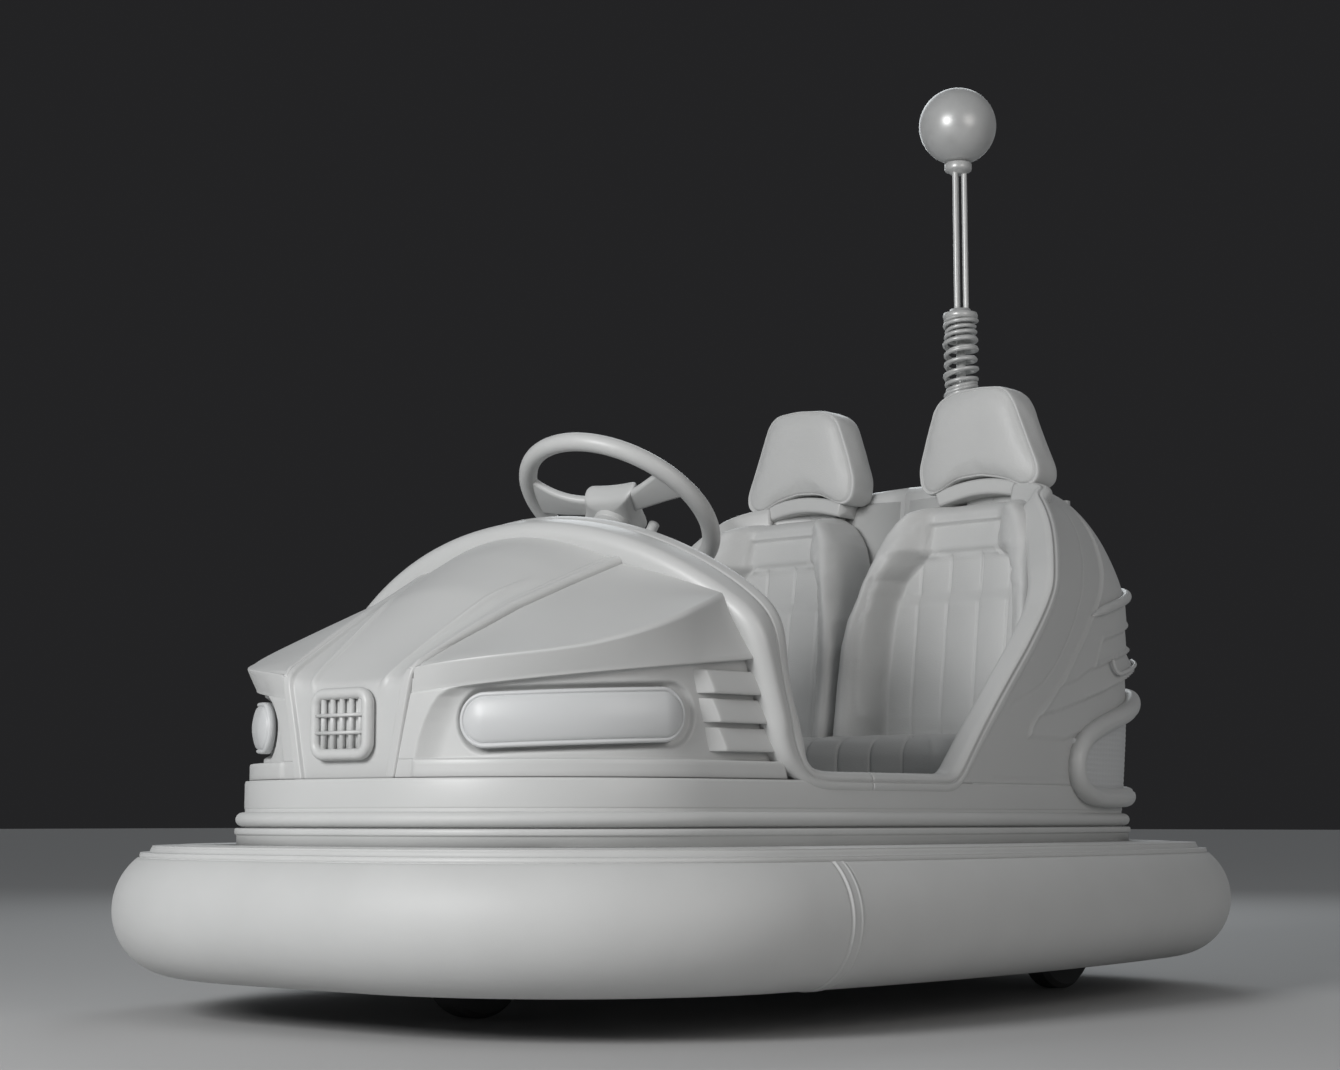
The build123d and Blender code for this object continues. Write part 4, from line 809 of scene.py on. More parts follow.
@dataclass
class Headlamp:
    """Long pill-shaped lamp that lies in a dished recess of the side wall."""

    run: float = 383.5
    z: float = 436.0
    half: float = 174.5
    radius: float = 39.5
    tilt: float = math.radians(2.0)
    dish_shift: float = 9.0
    dish_grow: float = 9.0

    def edge(self, run: np.ndarray, z: np.ndarray, dish: bool = False) -> np.ndarray:
        """Distance outside the lens, or outside its dish, of places on the side wall."""
        radius = self.radius + (self.dish_grow if dish else 0.0)
        along_x = np.asarray(run) - self.run - (self.dish_shift if dish else 0.0)
        along_z = np.asarray(z) - self.z
        a = along_x * math.cos(self.tilt) + along_z * math.sin(self.tilt)
        b = along_z * math.cos(self.tilt) - along_x * math.sin(self.tilt)
        reach = self.half + (self.dish_grow + self.dish_shift if dish else 0.0) - radius
        return np.hypot(np.maximum(np.abs(a) - reach, 0.0), b) - radius

    def shape(self) -> tuple[np.ndarray, np.ndarray]:
        """Closed lens with a thin bezel and a groove round it."""
        profile = [(0.6, -27.0), (0.6, -19.0), (1.2, -17.0), (2.6, -15.6), (4.4, -15.2), (5.8, -15.8), (6.6, -17.2),
                   (7.4, -17.2), (8.2, -15.6), (9.6, -14.4), (12.0, -13.2), (16.0, -11.8), (21.0, -10.4), (27.0, -9.2),
                   (33.0, -8.3), (self.radius, -8.0)]
        straight = self.half - self.radius
        turns = np.linspace(-math.pi / 2, math.pi / 2, 48)
        run = np.linspace(-straight, straight, 90)[1:-1]
        rows = []
        for inset, out in profile + [(self.radius, -27.0)]:
            radius = self.radius - inset
            end = np.stack([straight + radius * np.cos(turns), radius * np.sin(turns)], axis=-1)
            top = np.stack([run[::-1], np.full(len(run), radius)], axis=-1)
            ring = np.concatenate([end, top, -end, -top])
            a, b = ring[:, 0], ring[:, 1]
            s = self.run + a * math.cos(self.tilt) - b * math.sin(self.tilt)
            z = self.z + a * math.sin(self.tilt) + b * math.cos(self.tilt)
            rows.append(np.c_[BODY.at(s, out), z])
        order = [rows[-1]] + rows[:-1]
        return np.concatenate(order), grid_faces(len(order), len(order[0]), False, True)


@dataclass
class Fender:
    """Side of the cowl: ledge, recessed lamp wall, climbing overhang, crease and roof facet."""

    lamp: Headlamp
    ledge_out: float = -6.0
    post_out: float = -10.0
    wall_out: float = -27.0
    lip_out: float = -14.0
    inner_out: float = -38.0
    skin: float = 8.0
    columns: int = 235
    wall_rows: int = 50
    facet_rows: int = 64
    louvre_z: float = 391.0
    louvre_pitch: float = 41.0
    louvre_height: float = 34.0
    louvre_y: float = -508.0

    def lip_z(self, run: np.ndarray) -> np.ndarray:
        """Height of the overhang's underside."""
        return 479.0 + (run - 219.0) * 0.0985

    def crease(self, run: np.ndarray) -> tuple[np.ndarray, np.ndarray]:
        """Height and distance outside the body line of the crease above the overhang."""
        keys = np.array([100.0, 149.0, 261.0, 340.0, 400.0, 463.0, 520.0, 570.0, 625.0, 680.0, 760.0])
        heights = np.array([503.0, 508.0, 519.0, 527.0, 536.0, 553.0, 572.0, 590.0, 609.0, 628.0, 655.0])
        outs = np.array([-9.0, -6.0, 1.0, 1.0, 0.0, -2.0, -8.0, -17.0, -34.0, -56.0, -90.0])
        fine = np.linspace(100.0, 760.0, 661)
        ease = np.ones(41) / 41.0
        height, out = (np.convolve(np.pad(np.interp(fine, keys, line), 20, "edge"), ease, "valid")
                       for line in (heights, outs))
        return np.interp(run, fine, height), np.interp(run, fine, out)

    def wall(self, run: np.ndarray, z: np.ndarray) -> np.ndarray:
        """Distance outside the body line of the recessed wall, with the scoop and the lamp's dish."""
        start = np.interp(z, [378.0, 405.0, 430.0, 450.0, 465.0, 478.0, 492.0],
                          [139.0, 146.0, 155.0, 166.0, 178.0, 200.0, 240.0])
        along = np.clip((run - start) / 40.0, 0.0, 1.0)
        out = self.post_out + (self.wall_out - self.post_out) * np.sin(along * math.pi / 2)
        dish = self.lamp.edge(run, z, dish=True)
        lens = self.lamp.edge(run, z)
        hollow = 6.5 * smooth(0.0, 6.0, -dish) + 4.0 * smooth(3.4, 1.4, lens)
        return out - hollow * smooth(175.0, 205.0, run)

    def _row(self, turn: np.ndarray, height: Callable[[np.ndarray], np.ndarray | float],
             out: Callable[[np.ndarray, np.ndarray], np.ndarray]) -> tuple[np.ndarray, np.ndarray, np.ndarray]:
        """Runs, heights and distances of one row of the wall.

        Args:
            turn: position along the row, from 0 at the spine to 1 at the arch.
            height: height as a function of run.
            out: distance outside the body line as a function of run and height.

        Returns:
            The runs, heights and distances.
        """
        run = 139.0 + 560.0 * turn
        for _ in range(6):
            z = height(run) + 0.0 * run
            first = np.interp(z, [352.0, 433.0, 499.0, 512.0], [105.0, 122.5, 139.0, 146.0])
            last = BODY.run_at_y(arch_y(z, -44.0) + 14.0)
            run = first + (last - first) * turn
        return run, z, out(run, z) + 0.0 * run

    def shape(self) -> tuple[np.ndarray, np.ndarray]:
        """The left fender as a closed sheet with its louvres."""
        turn = np.linspace(0.0, 1.0, self.columns) ** 1.08
        lip, wall = self.lip_z, self.wall
        crease_z, crease_out = (lambda run: self.crease(run)[0]), (lambda run: self.crease(run)[1])
        ledge = lambda run: self.ledge_out + (self.post_out - self.ledge_out) * smooth(143.0, 135.0, run)
        rows = [self._row(turn, lambda run: 352.4, lambda run, z, o=o: ledge(run) + o) for o in (-14.0, -1.6)]
        ledge_rows = ((353.2, -0.5), (354.6, 0.0), (362.0, 0.0), (370.0, 0.0), (375.6, 0.0),
                      (377.3, -0.7), (378.0, -2.4))
        for z, o in ledge_rows:
            rows.append(self._row(turn, lambda run, z=z: z, lambda run, z, o=o: ledge(run) + o * smooth(133, 142, run)))
        for part in (0.35, 0.75):
            rows.append(self._row(turn, lambda run: 378.2, lambda run, z, p=part: (1 - p) * (ledge(run) - 3.0)
                                  + p * wall(run, z)))
        for part in np.linspace(0.0, 1.0, self.wall_rows):
            rows.append(self._row(turn, lambda run, p=part: 379.4 + (lip(run) - 1.0 - 379.4) * p, wall))
        edge = lambda run: self.lip_out + 3.0 * smooth(560.0, 690.0, run) + 3.0 * smooth(215.0, 165.0, run)
        for rise, part in ((-0.4, 0.4), (-0.2, 0.85)):
            rows.append(self._row(turn, lambda run, r=rise: lip(run) + r,
                                  lambda run, z, p=part: (1 - p) * wall(run, z) + p * edge(run)))
        for rise, o in ((0.3, -0.4), (1.3, 0.0), (3.0, 0.2)):
            rows.append(self._row(turn, lambda run, r=rise: lip(run) + r, lambda run, z, o=o: edge(run) + o))
        for part in np.linspace(0.08, 0.94, 20):
            rows.append(self._row(
                turn,
                lambda run, p=part: (1 - p) * (lip(run) + 3.0) + p * crease_z(run),
                lambda run, z, p=part: (1 - p) * edge(run) + p * crease_out(run) + 2.0 * p * (1 - p)))
        outer = [np.c_[BODY.at(run, out), z] for run, z, out in rows]
        inner = [np.c_[BODY.at(run, np.minimum(out - self.skin, self.inner_out)), z] for run, z, out in rows]
        run, z, out = self._row(turn, crease_z, lambda run, z: crease_out(run))
        crest = np.c_[BODY.at(run, out), z]
        path = JOINT_LINE[2:]
        joint = np.stack([np.interp(crest[:, 1], path[:, 1], path[:, axis]) for axis in (0, 1, 2)], axis=-1)
        joint[:, 1] = np.clip(crest[:, 1], path[0, 1], None)
        for part in np.r_[0.012, np.linspace(0.04, 0.985, self.facet_rows), 1.0]:
            line = crest * (1 - part) + joint * part
            line[:, 2] += 16.0 * part * (1 - part) * smooth(0.0, 0.25, turn)
            outer.append(line)
            inner.append(line - np.array([0.0, 0.0, self.skin]) - np.array([1.0, 0.0, 0.0]) * 10.0 * (1 - part))
        outer.append(joint - np.array([4.0, 0.0, 6.0]))
        inner.append(joint - np.array([4.0, 0.0, 9.0]))
        shapes = [closed_sheet(np.stack(outer), np.stack(inner))]
        shapes += [self.louvre(number) for number in range(3)]
        return merged(shapes)

    def louvre(self, number: int) -> tuple[np.ndarray, np.ndarray]:
        """One overlapping slat behind the lamp, with a slanted front end.

        Args:
            number: 0 for the lowest.

        Returns:
            Its points and faces.
        """
        low = self.louvre_z + number * self.louvre_pitch
        section = [(-34.0, 0.0), (-12.0, 0.0), (-10.4, 0.4), (-9.6, 1.8), (-9.6, 4.0), (-11.4, 12.0), (-14.0, 22.0),
                   (-16.6, 31.0), (-17.8, 33.4), (-20.0, self.louvre_height), (-34.0, self.louvre_height)]
        steps = np.r_[0.0, 0.4, 19.0, 20.2, np.linspace(26.0, 178.0, 16)]
        proud = np.r_[0.0, 0.04, 0.97, 1.0, np.ones(16)]
        rows = []
        for out, rise in section:
            z = low + rise
            start = BODY.run_at_y(self.louvre_y + arch_y(z) - arch_y(self.louvre_z))
            depth = self.wall_out - 1.0 + (out - self.wall_out + 1.0) * proud if out > self.wall_out else out
            rows.append(np.c_[BODY.at(start + steps, depth), np.full(len(steps), z)])
        return capped(np.stack(rows, axis=1))


@dataclass
class Spine:
    """Centre of the nose and hood, with a raised band along each joint and a fading rib inside it."""

    band: float = 17.0
    band_height: float = 6.0
    band_end: float = -464.0
    rib_height: float = 4.0
    skin: float = 8.0
    rows: int = 200
    columns: int = 151

    def shape(self) -> tuple[np.ndarray, np.ndarray]:
        """The spine as a closed sheet."""
        keys = np.r_[0.0, np.cumsum(np.linalg.norm(np.diff(CROWN_LINE, axis=0), axis=1))]
        places = np.linspace(0.0, keys[-1], self.rows)
        ease = 9
        window = np.ones(ease) / ease
        lines = []
        for line in (CROWN_LINE, JOINT_LINE):
            run = np.stack([np.interp(places, keys, line[:, axis]) for axis in range(3)], axis=-1)
            padded = np.concatenate([2 * run[:1] - run[ease // 2:0:-1], run, 2 * run[-1:] - run[-2:-2 - ease // 2:-1]])
            lines.append(np.stack([np.convolve(padded[:, axis], window, "valid") for axis in range(3)], axis=-1))
        crown, joint = lines
        across = np.linspace(-1.0, 1.0, self.columns)
        across = np.sign(across) * np.abs(across) ** 0.85
        x = joint[:, 0][:, None] * across[None, :]
        square = (across**2)[None, :]
        y = crown[:, 1][:, None] * (1 - square) + joint[:, 1][:, None] * square
        z = crown[:, 2][:, None] * (1 - square) + joint[:, 2][:, None] * square
        y = y + (x**2) / 12000.0 * smooth(520.0, 480.0, z)
        slope = np.gradient(np.stack([y, z], axis=-1), axis=0)
        slope /= np.linalg.norm(slope, axis=-1)[..., None]
        ahead, above = -slope[..., 1], slope[..., 0]
        from_joint = joint[:, 0][:, None] - np.abs(x)
        end_y = self.band_end - (from_joint - self.band / 2) ** 2 / 12.0
        band = smooth(-1.0, 2.5, from_joint) - smooth(self.band - 1.5, self.band + 3.5, from_joint)
        height = self.band_height * band
        height = height * smooth(end_y + 3.0, end_y - 4.0, y)
        rib_at = np.interp(y, [-828.0, -752.0, -666.0, -603.0, -560.0], [62.0, 60.0, 55.0, 49.0, 44.0])
        there = smooth(470.0, 500.0, z) * smooth(-575.0, -640.0, y)
        height = height + there * (self.rib_height * bump(0.0, 9.0, from_joint - rib_at)
                                   - 2.6 * bump(0.0, 17.0, from_joint - (rib_at + self.band) / 2))
        outer = np.stack([x, y + ahead * height, z + above * height], axis=-1)
        inner = np.stack([x * 0.99, y - ahead * self.skin, z - above * self.skin], axis=-1)
        return closed_sheet(outer, inner)


@dataclass
class Grille:
    """Small rounded radiator grille: a tube frame, upright slats and two thin cross bars."""

    z: float = 430.0
    face_y: float = -832.0
    width: float = 126.0
    height: float = 104.0
    corner: float = 26.0
    tube: float = 8.5
    slats: int = 5
    slat_pitch: float = 19.5

    def frame(self) -> tuple[np.ndarray, np.ndarray]:
        """Rounded tube round the opening."""
        loop = rounded_box(self.width - 2 * self.tube, self.height - 2 * self.tube, self.corner - self.tube, 12)
        path = np.stack([loop[:, 0], np.full(len(loop), self.face_y - 4.0), self.z + loop[:, 1]], axis=-1)
        return rod(path, circle(self.tube, 20) * np.array([1.0, 1.1]), REARWARD, True)

    def panel(self) -> tuple[np.ndarray, np.ndarray]:
        """Backing panel that closes the opening."""
        loop = rounded_box(self.width - self.tube, self.height - self.tube, self.corner - self.tube / 2, 10)
        rows = []
        for y, scale in ((self.face_y + 8.0, 0.0), (self.face_y + 8.0, 1.0), (self.face_y + 1.0, 1.0),
                         (self.face_y + 1.0, 0.0)):
            rows.append(np.stack([loop[:, 0] * scale, np.full(len(loop), y), self.z + loop[:, 1] * scale], axis=-1))
        return np.concatenate(rows), grid_faces(4, len(loop), False, True)


@dataclass
class Cowl:
    """Everything in front of the cockpit arch."""

    lamp: Headlamp
    fender: Fender
    spine: Spine
    grille: Grille

    def build(self) -> None:
        """Builds and dresses the front bodywork."""
        pair("fender_panel", self.fender.shape(), Finishes.SHELL, ("fender_{hand}",))
        pair("headlamp_lens", self.lamp.shape(), Finishes.LENS, ("headlamp_{hand}",))
        piece = mesh_object("hood_spine", *self.spine.shape())
        dress(piece, Finishes.SHELL, ("nose_spine",))
        piece = mesh_object("grille_frame", *merged([self.grille.frame(), self.grille.panel()]))
        dress(piece, Finishes.TRIM, ("grille",))
        self.bars()
        self.joint_ribs()

    def joint_ribs(self) -> None:
        """Lays a rounded rib with closed ends on each joint between hood and fender."""
        line = curve_through([tuple(point) for point in JOINT_LINE[2:]], 160, 0)
        line = line[line[:, 1] < -415.0] + np.array([-6.0, 0.0, 3.5])
        far = np.linalg.norm(line - line[-1], axis=1)
        size = np.sqrt(np.clip(1 - (1 - np.clip(far / 8.0, 0, 1)) ** 2, 0.01, 1))
        size *= 0.35 + 0.65 * smooth(0.0, 160.0, np.linalg.norm(line - line[0], axis=1))
        shape = rod(line, np.stack([rounded_box(20.0 * s, 17.0 * s, 8.0 * s, 6) for s in size]))
        pair("hood_rib", shape, Finishes.SHELL)

    def bars(self) -> None:
        """Slats and cross bars of the grille, from the bar row tree."""
        grille = self.grille
        inside = grille.height - 2.4 * grille.tube
        slats = BarRow(grille.slats, (grille.slat_pitch, 0.0, 0.0), 4.6, inside, (0.0, 0.0, 0.0))
        upright = slats.make("grille_slats", (0.0, grille.face_y - 3.0, grille.z))
        dress(upright, Finishes.TRIM)
        cross = BarRow(2, (0.0, 0.0, 25.0), 2.6, grille.width - 2.4 * grille.tube, (0.0, 90.0, 0.0))
        level = cross.make("grille_bars", (0.0, grille.face_y - 9.0, grille.z))
        dress(level, Finishes.TRIM)
# ---------------------------------------------------------------- cockpit mouldings
@dataclass
class Mouldings:
    """Rounded mouldings round the cockpit: the leaning arch with its legs, and the side rims."""

    foot_x: float = 464.0
    shoulder: tuple[float, float] = (447.0, 262.0)
    rise: float = 438.0
    corner_r: float = 90.0
    band: float = 46.0
    half_depth: float = 44.0
    leg_half: float = 29.5
    rim_half: float = 16.5
    rim_side: float = 22.0
    sill_split: float = -190.0
    side_line: tuple[tuple[float, float], ...] = (
        (-366.0, 400.0), (-356.0, 382.0), (-342.0, 365.0), (-320.0, 353.0), (-290.0, 348.5), (-250.0, 348.5),
        (-20.0, 348.5), (14.0, 348.5), (33.0, 353.0), (47.0, 364.0), (60.0, 379.0), (96.0, 421.0), (140.0, 465.0),
        (175.0, 500.0), (208.0, 532.0), (246.0, 567.0), (286.0, 608.0), (322.0, 645.0), (344.0, 673.0),
        (371.0, 719.0), (398.0, 754.0), (419.0, 779.0), (448.0, 815.0), (470.0, 841.0), (490.0, 862.0))
    top_turn: tuple[tuple[float, float, float], ...] = (
        (348.0, 512.0, 858.0), (318.0, 528.0, 868.0), (280.0, 540.0, 872.0))

    def arch_outline(self, inset: float, count: int) -> np.ndarray:
        """Half of the arch's outline in its own plane, from the left foot to the crown.

        Args:
            inset: distance inside the outer outline.
            count: number of points.

        Returns:
            Sideways and upward places in the arch plane.
        """
        sag = self.rise - self.shoulder[1]
        crown_r = (self.shoulder[0] ** 2 + sag**2) / (2 * sag)
        crown_v = self.rise - crown_r
        run = np.array([self.shoulder[0] - self.foot_x, self.shoulder[1]])
        run /= np.hypot(*run)
        inward = np.array([-run[1], run[0]])
        start = np.array([self.foot_x, 0.0]) + self.corner_r * inward - np.array([0.0, crown_v])
        ahead = float(run @ start)
        reach = -ahead + math.sqrt(ahead**2 - float(start @ start) + (crown_r - self.corner_r) ** 2)
        turn_at = np.array([self.foot_x, 0.0]) + self.corner_r * inward + reach * run
        low = math.atan2(-inward[1], -inward[0])
        high = math.atan2(turn_at[1] - crown_v, turn_at[0])
        radius = self.corner_r - inset
        foot = np.array([self.foot_x, 0.0]) + inward * inset
        line = foot[None, :] + np.outer(np.linspace(-6.0, reach - 2.0, 20), run)
        turns = np.linspace(low, high, 80)
        bend = turn_at + radius * np.stack([np.cos(turns), np.sin(turns)], axis=-1)
        turns = np.linspace(high, math.pi / 2, 20)[1:]
        top = np.array([0.0, crown_v]) + (crown_r - inset) * np.stack([np.cos(turns), np.sin(turns)], axis=-1)
        return curve_through(list(np.concatenate([line, bend, top])), count)

    def on_side(self, y: np.ndarray, z: np.ndarray, out: float) -> tuple[np.ndarray, np.ndarray]:
        """Points on the body's side and the direction in which it faces there.

        Args:
            y: stations.
            z: heights.
            out: distance outside the plain shell.

        Returns:
            The points, and the unit directions.
        """
        run = BODY.run_at_y(y, 0.0)
        flat, further = BODY.at(run, 0.0), BODY.at(run, 1.0)
        face = np.c_[further - flat, (shell_pull(z + 4.0) - shell_pull(z - 4.0)) / 8.0]
        face /= np.linalg.norm(face, axis=1)[:, None]
        skin = np.c_[flat - (further - flat) * shell_pull(z)[:, None], z]
        return skin + face * out, face

    def half_path(self) -> tuple[np.ndarray, np.ndarray, np.ndarray]:
        """Middle line of the moulding on the left, from the arch's crown round the opening to its top.

        Returns:
            The points, the outward direction at each, and its half depth, half height and groove place.
        """
        arch = self.arch_outline(self.band / 2, 170)[::-1]
        tangent = np.gradient(arch, axis=0)
        tangent /= np.linalg.norm(tangent, axis=1)[:, None]
        normal = np.stack([-tangent[:, 1], tangent[:, 0]], axis=-1)
        normal *= np.sign((normal * (arch - np.array([0.0, 60.0]))).sum(axis=1))[:, None]
        z = 337.0 + arch[:, 1] * math.cos(ARCH_LEAN)
        deep = self.leg_half + (self.half_depth - self.leg_half) * smooth(470.0, 640.0, z)
        behind = deep - self.half_depth
        lean = np.stack([arch[:, 0], -335.0 - arch[:, 1] * math.sin(ARCH_LEAN) + behind * math.cos(ARCH_LEAN),
                         z + behind * math.sin(ARCH_LEAN)], axis=-1)
        out = np.stack([normal[:, 0], -normal[:, 1] * math.sin(ARCH_LEAN), normal[:, 1] * math.cos(ARCH_LEAN)], axis=-1)
        keep = lean[:, 2] > 428.0
        lean, out, deep = lean[keep], out[keep], deep[keep]
        line = curve_through([(lean[-1, 1], lean[-1, 2]), *self.side_line], 280, 3)
        half_b = self.rim_side + 7.0 * smooth(600.0, 760.0, line[:, 1]) * (line[:, 0] > 0)
        skin, away = self.on_side(line[:, 0], line[:, 1], 2.0)
        lower = skin - away * half_b[:, None]
        join = smooth(lean[-1, 1], -290.0, line[:, 0])
        lower[:, 0] = np.where(line[:, 0] < -280.0, lean[-1, 0] + (lower[:, 0] - lean[-1, 0]) * join, lower[:, 0])
        lower[:, 1] = np.where(line[:, 0] < -280.0, line[:, 0], lower[:, 1])
        top = curve_through([tuple(lower[-1]), *self.top_turn], 24, 3)
        turn_away = np.repeat(away[-1:], 23, axis=0) + np.linspace(0.0, 1.0, 23)[:, None] * np.array([-0.2, 0.0, 1.0])
        path = np.concatenate([lean, lower[1:], top[1:]])
        outward = np.concatenate([out, away[1:], turn_away])
        rim = self.leg_half + (self.rim_half - self.leg_half) * smooth(400.0, 352.0, line[:, 1])
        rim = np.where(line[:, 0] > -300.0, self.rim_half, rim)
        groove = np.where(line[:, 0] > -300.0, -2.5 - 5.5 * smooth(20.0, 160.0, line[:, 0]), -3.0)
        sizes = np.stack([
            np.concatenate([deep, rim[1:], np.full(23, self.rim_half)]),
            np.concatenate([np.full(len(lean), self.band / 2), half_b[1:], np.full(23, half_b[-1])]),
            np.concatenate([-3.0 - 6.0 * smooth(500.0, 640.0, lean[:, 2]), groove[1:], np.full(23, -8.0)])], axis=-1)
        outward, path, sizes = eased(outward, 10), eased(path, 10), eased(sizes, 10)
        path[0, 0] = 0.0
        return path, outward, sizes

    def section(self, half_a: float, half_b: float, groove: float) -> np.ndarray:
        """Section of the moulding: two soft beads side by side with a fine groove between them.

        Args:
            half_a: half of its size towards the opening.
            half_b: half of its size outwards.
            groove: place of the groove across it.

        Returns:
            Places towards the opening and outwards.
        """
        radius = 0.84 * min(half_a, half_b)
        base = rounded_box(2 * half_a, 2 * half_b, radius, 9)
        face = np.linspace(half_a - radius, -(half_a - radius), 30)[1:-1]
        top = np.stack([face, np.full(len(face), half_b)], axis=-1)
        outline = np.concatenate([base[:9], top, base[9:]])
        a, b = outline[:, 0], outline[:, 1]
        upper = smooth(0.1 * half_b, 0.7 * half_b, b)
        far = np.where(a > groove, (half_a - a) / (half_a - groove), (a + half_a) / (groove + half_a))
        lift = np.where(a > groove, 2.2, 1.6) * (1 - np.clip(2 * far - 1, -1, 1) ** 2)
        b = b + upper * (lift - 2.2 * bump(groove, 3.0, a))
        return np.stack([a, b], axis=-1)

    def build(self) -> None:
        """Builds the arch and the two side rims."""
        path, outward, sizes = self.half_path()
        run = np.gradient(path, axis=0)
        run /= np.linalg.norm(run, axis=1)[:, None]
        inward = np.cross(run, outward)
        inward /= np.linalg.norm(inward, axis=1)[:, None]
        outward = np.cross(inward, run)
        sections = np.stack([self.section(*size) for size in sizes])
        cut = int(np.argmax((path[:, 1] > self.sill_split) & (path[:, 2] < 420.0)))
        front = slice(0, cut + 1)
        whole = [np.concatenate([v[front][::-1] * MIRROR, v[front][1:]]) for v in (path, inward, outward)]
        shape = sweep(*whole, np.concatenate([sections[front][::-1], sections[front][1:]]))
        piece = mesh_object("arch_moulding", *shape)
        dress(piece, Finishes.TRIM, ("cockpit_arch",))
        back = slice(cut, len(path))
        shape = sweep(path[back], inward[back], outward[back], sections[back])
        pair("side_moulding", shape, Finishes.TRIM, ("side_rim_{hand}",))


# ---------------------------------------------------------------- rear shell
def shell_pull(z: np.ndarray | float) -> np.ndarray:
    """How far the rear shell's plan pulls in from the body line at height z."""
    fine = np.arange(300.0, 1000.0, 2.0)
    keys = [300.0, 352.0, 440.0, 520.0, 620.0, 690.0, 720.0, 740.0, 760.0, 780.0, 800.0, 820.0, 840.0, 860.0,
            880.0, 900.0, 920.0, 945.0, 980.0]
    pulls = [0.0, 0.0, -6.0, -9.0, -12.0, -11.0, -4.0, 3.0, 11.0, 20.0, 30.0, 42.0, 56.0, 73.0,
             95.0, 122.0, 158.0, 210.0, 290.0]
    window = np.ones(15) / 15.0
    return np.interp(z, fine, np.convolve(np.pad(np.interp(fine, keys, pulls), 7, "edge"), window, "valid"))


def polyline_distance(points: np.ndarray, line: list[tuple[float, float]]) -> tuple[np.ndarray, np.ndarray]:
    """Distance to a polyline and how far along it the nearest place is.

    Args:
        points: an array whose last axis holds two coordinates.
        line: the corners of the polyline.

    Returns:
        The distance, and the share of the whole length at the nearest place.
    """
    best = np.full(points.shape[:-1], 1e9)
    where = np.zeros(points.shape[:-1])
    corners = np.array(line, float)
    lengths = np.linalg.norm(np.diff(corners, axis=0), axis=1)
    starts = np.r_[0.0, np.cumsum(lengths)]
    for number, (low, high) in enumerate(zip(corners[:-1], corners[1:])):
        run = high - low
        part = np.clip(((points - low) @ run) / (run @ run), 0.0, 1.0)
        gap = np.linalg.norm(points - low - part[..., None] * run, axis=-1)
        closer = gap < best
        best = np.where(closer, gap, best)
        where = np.where(closer, (starts[number] + part * lengths[number]) / starts[-1], where)
    return best, where


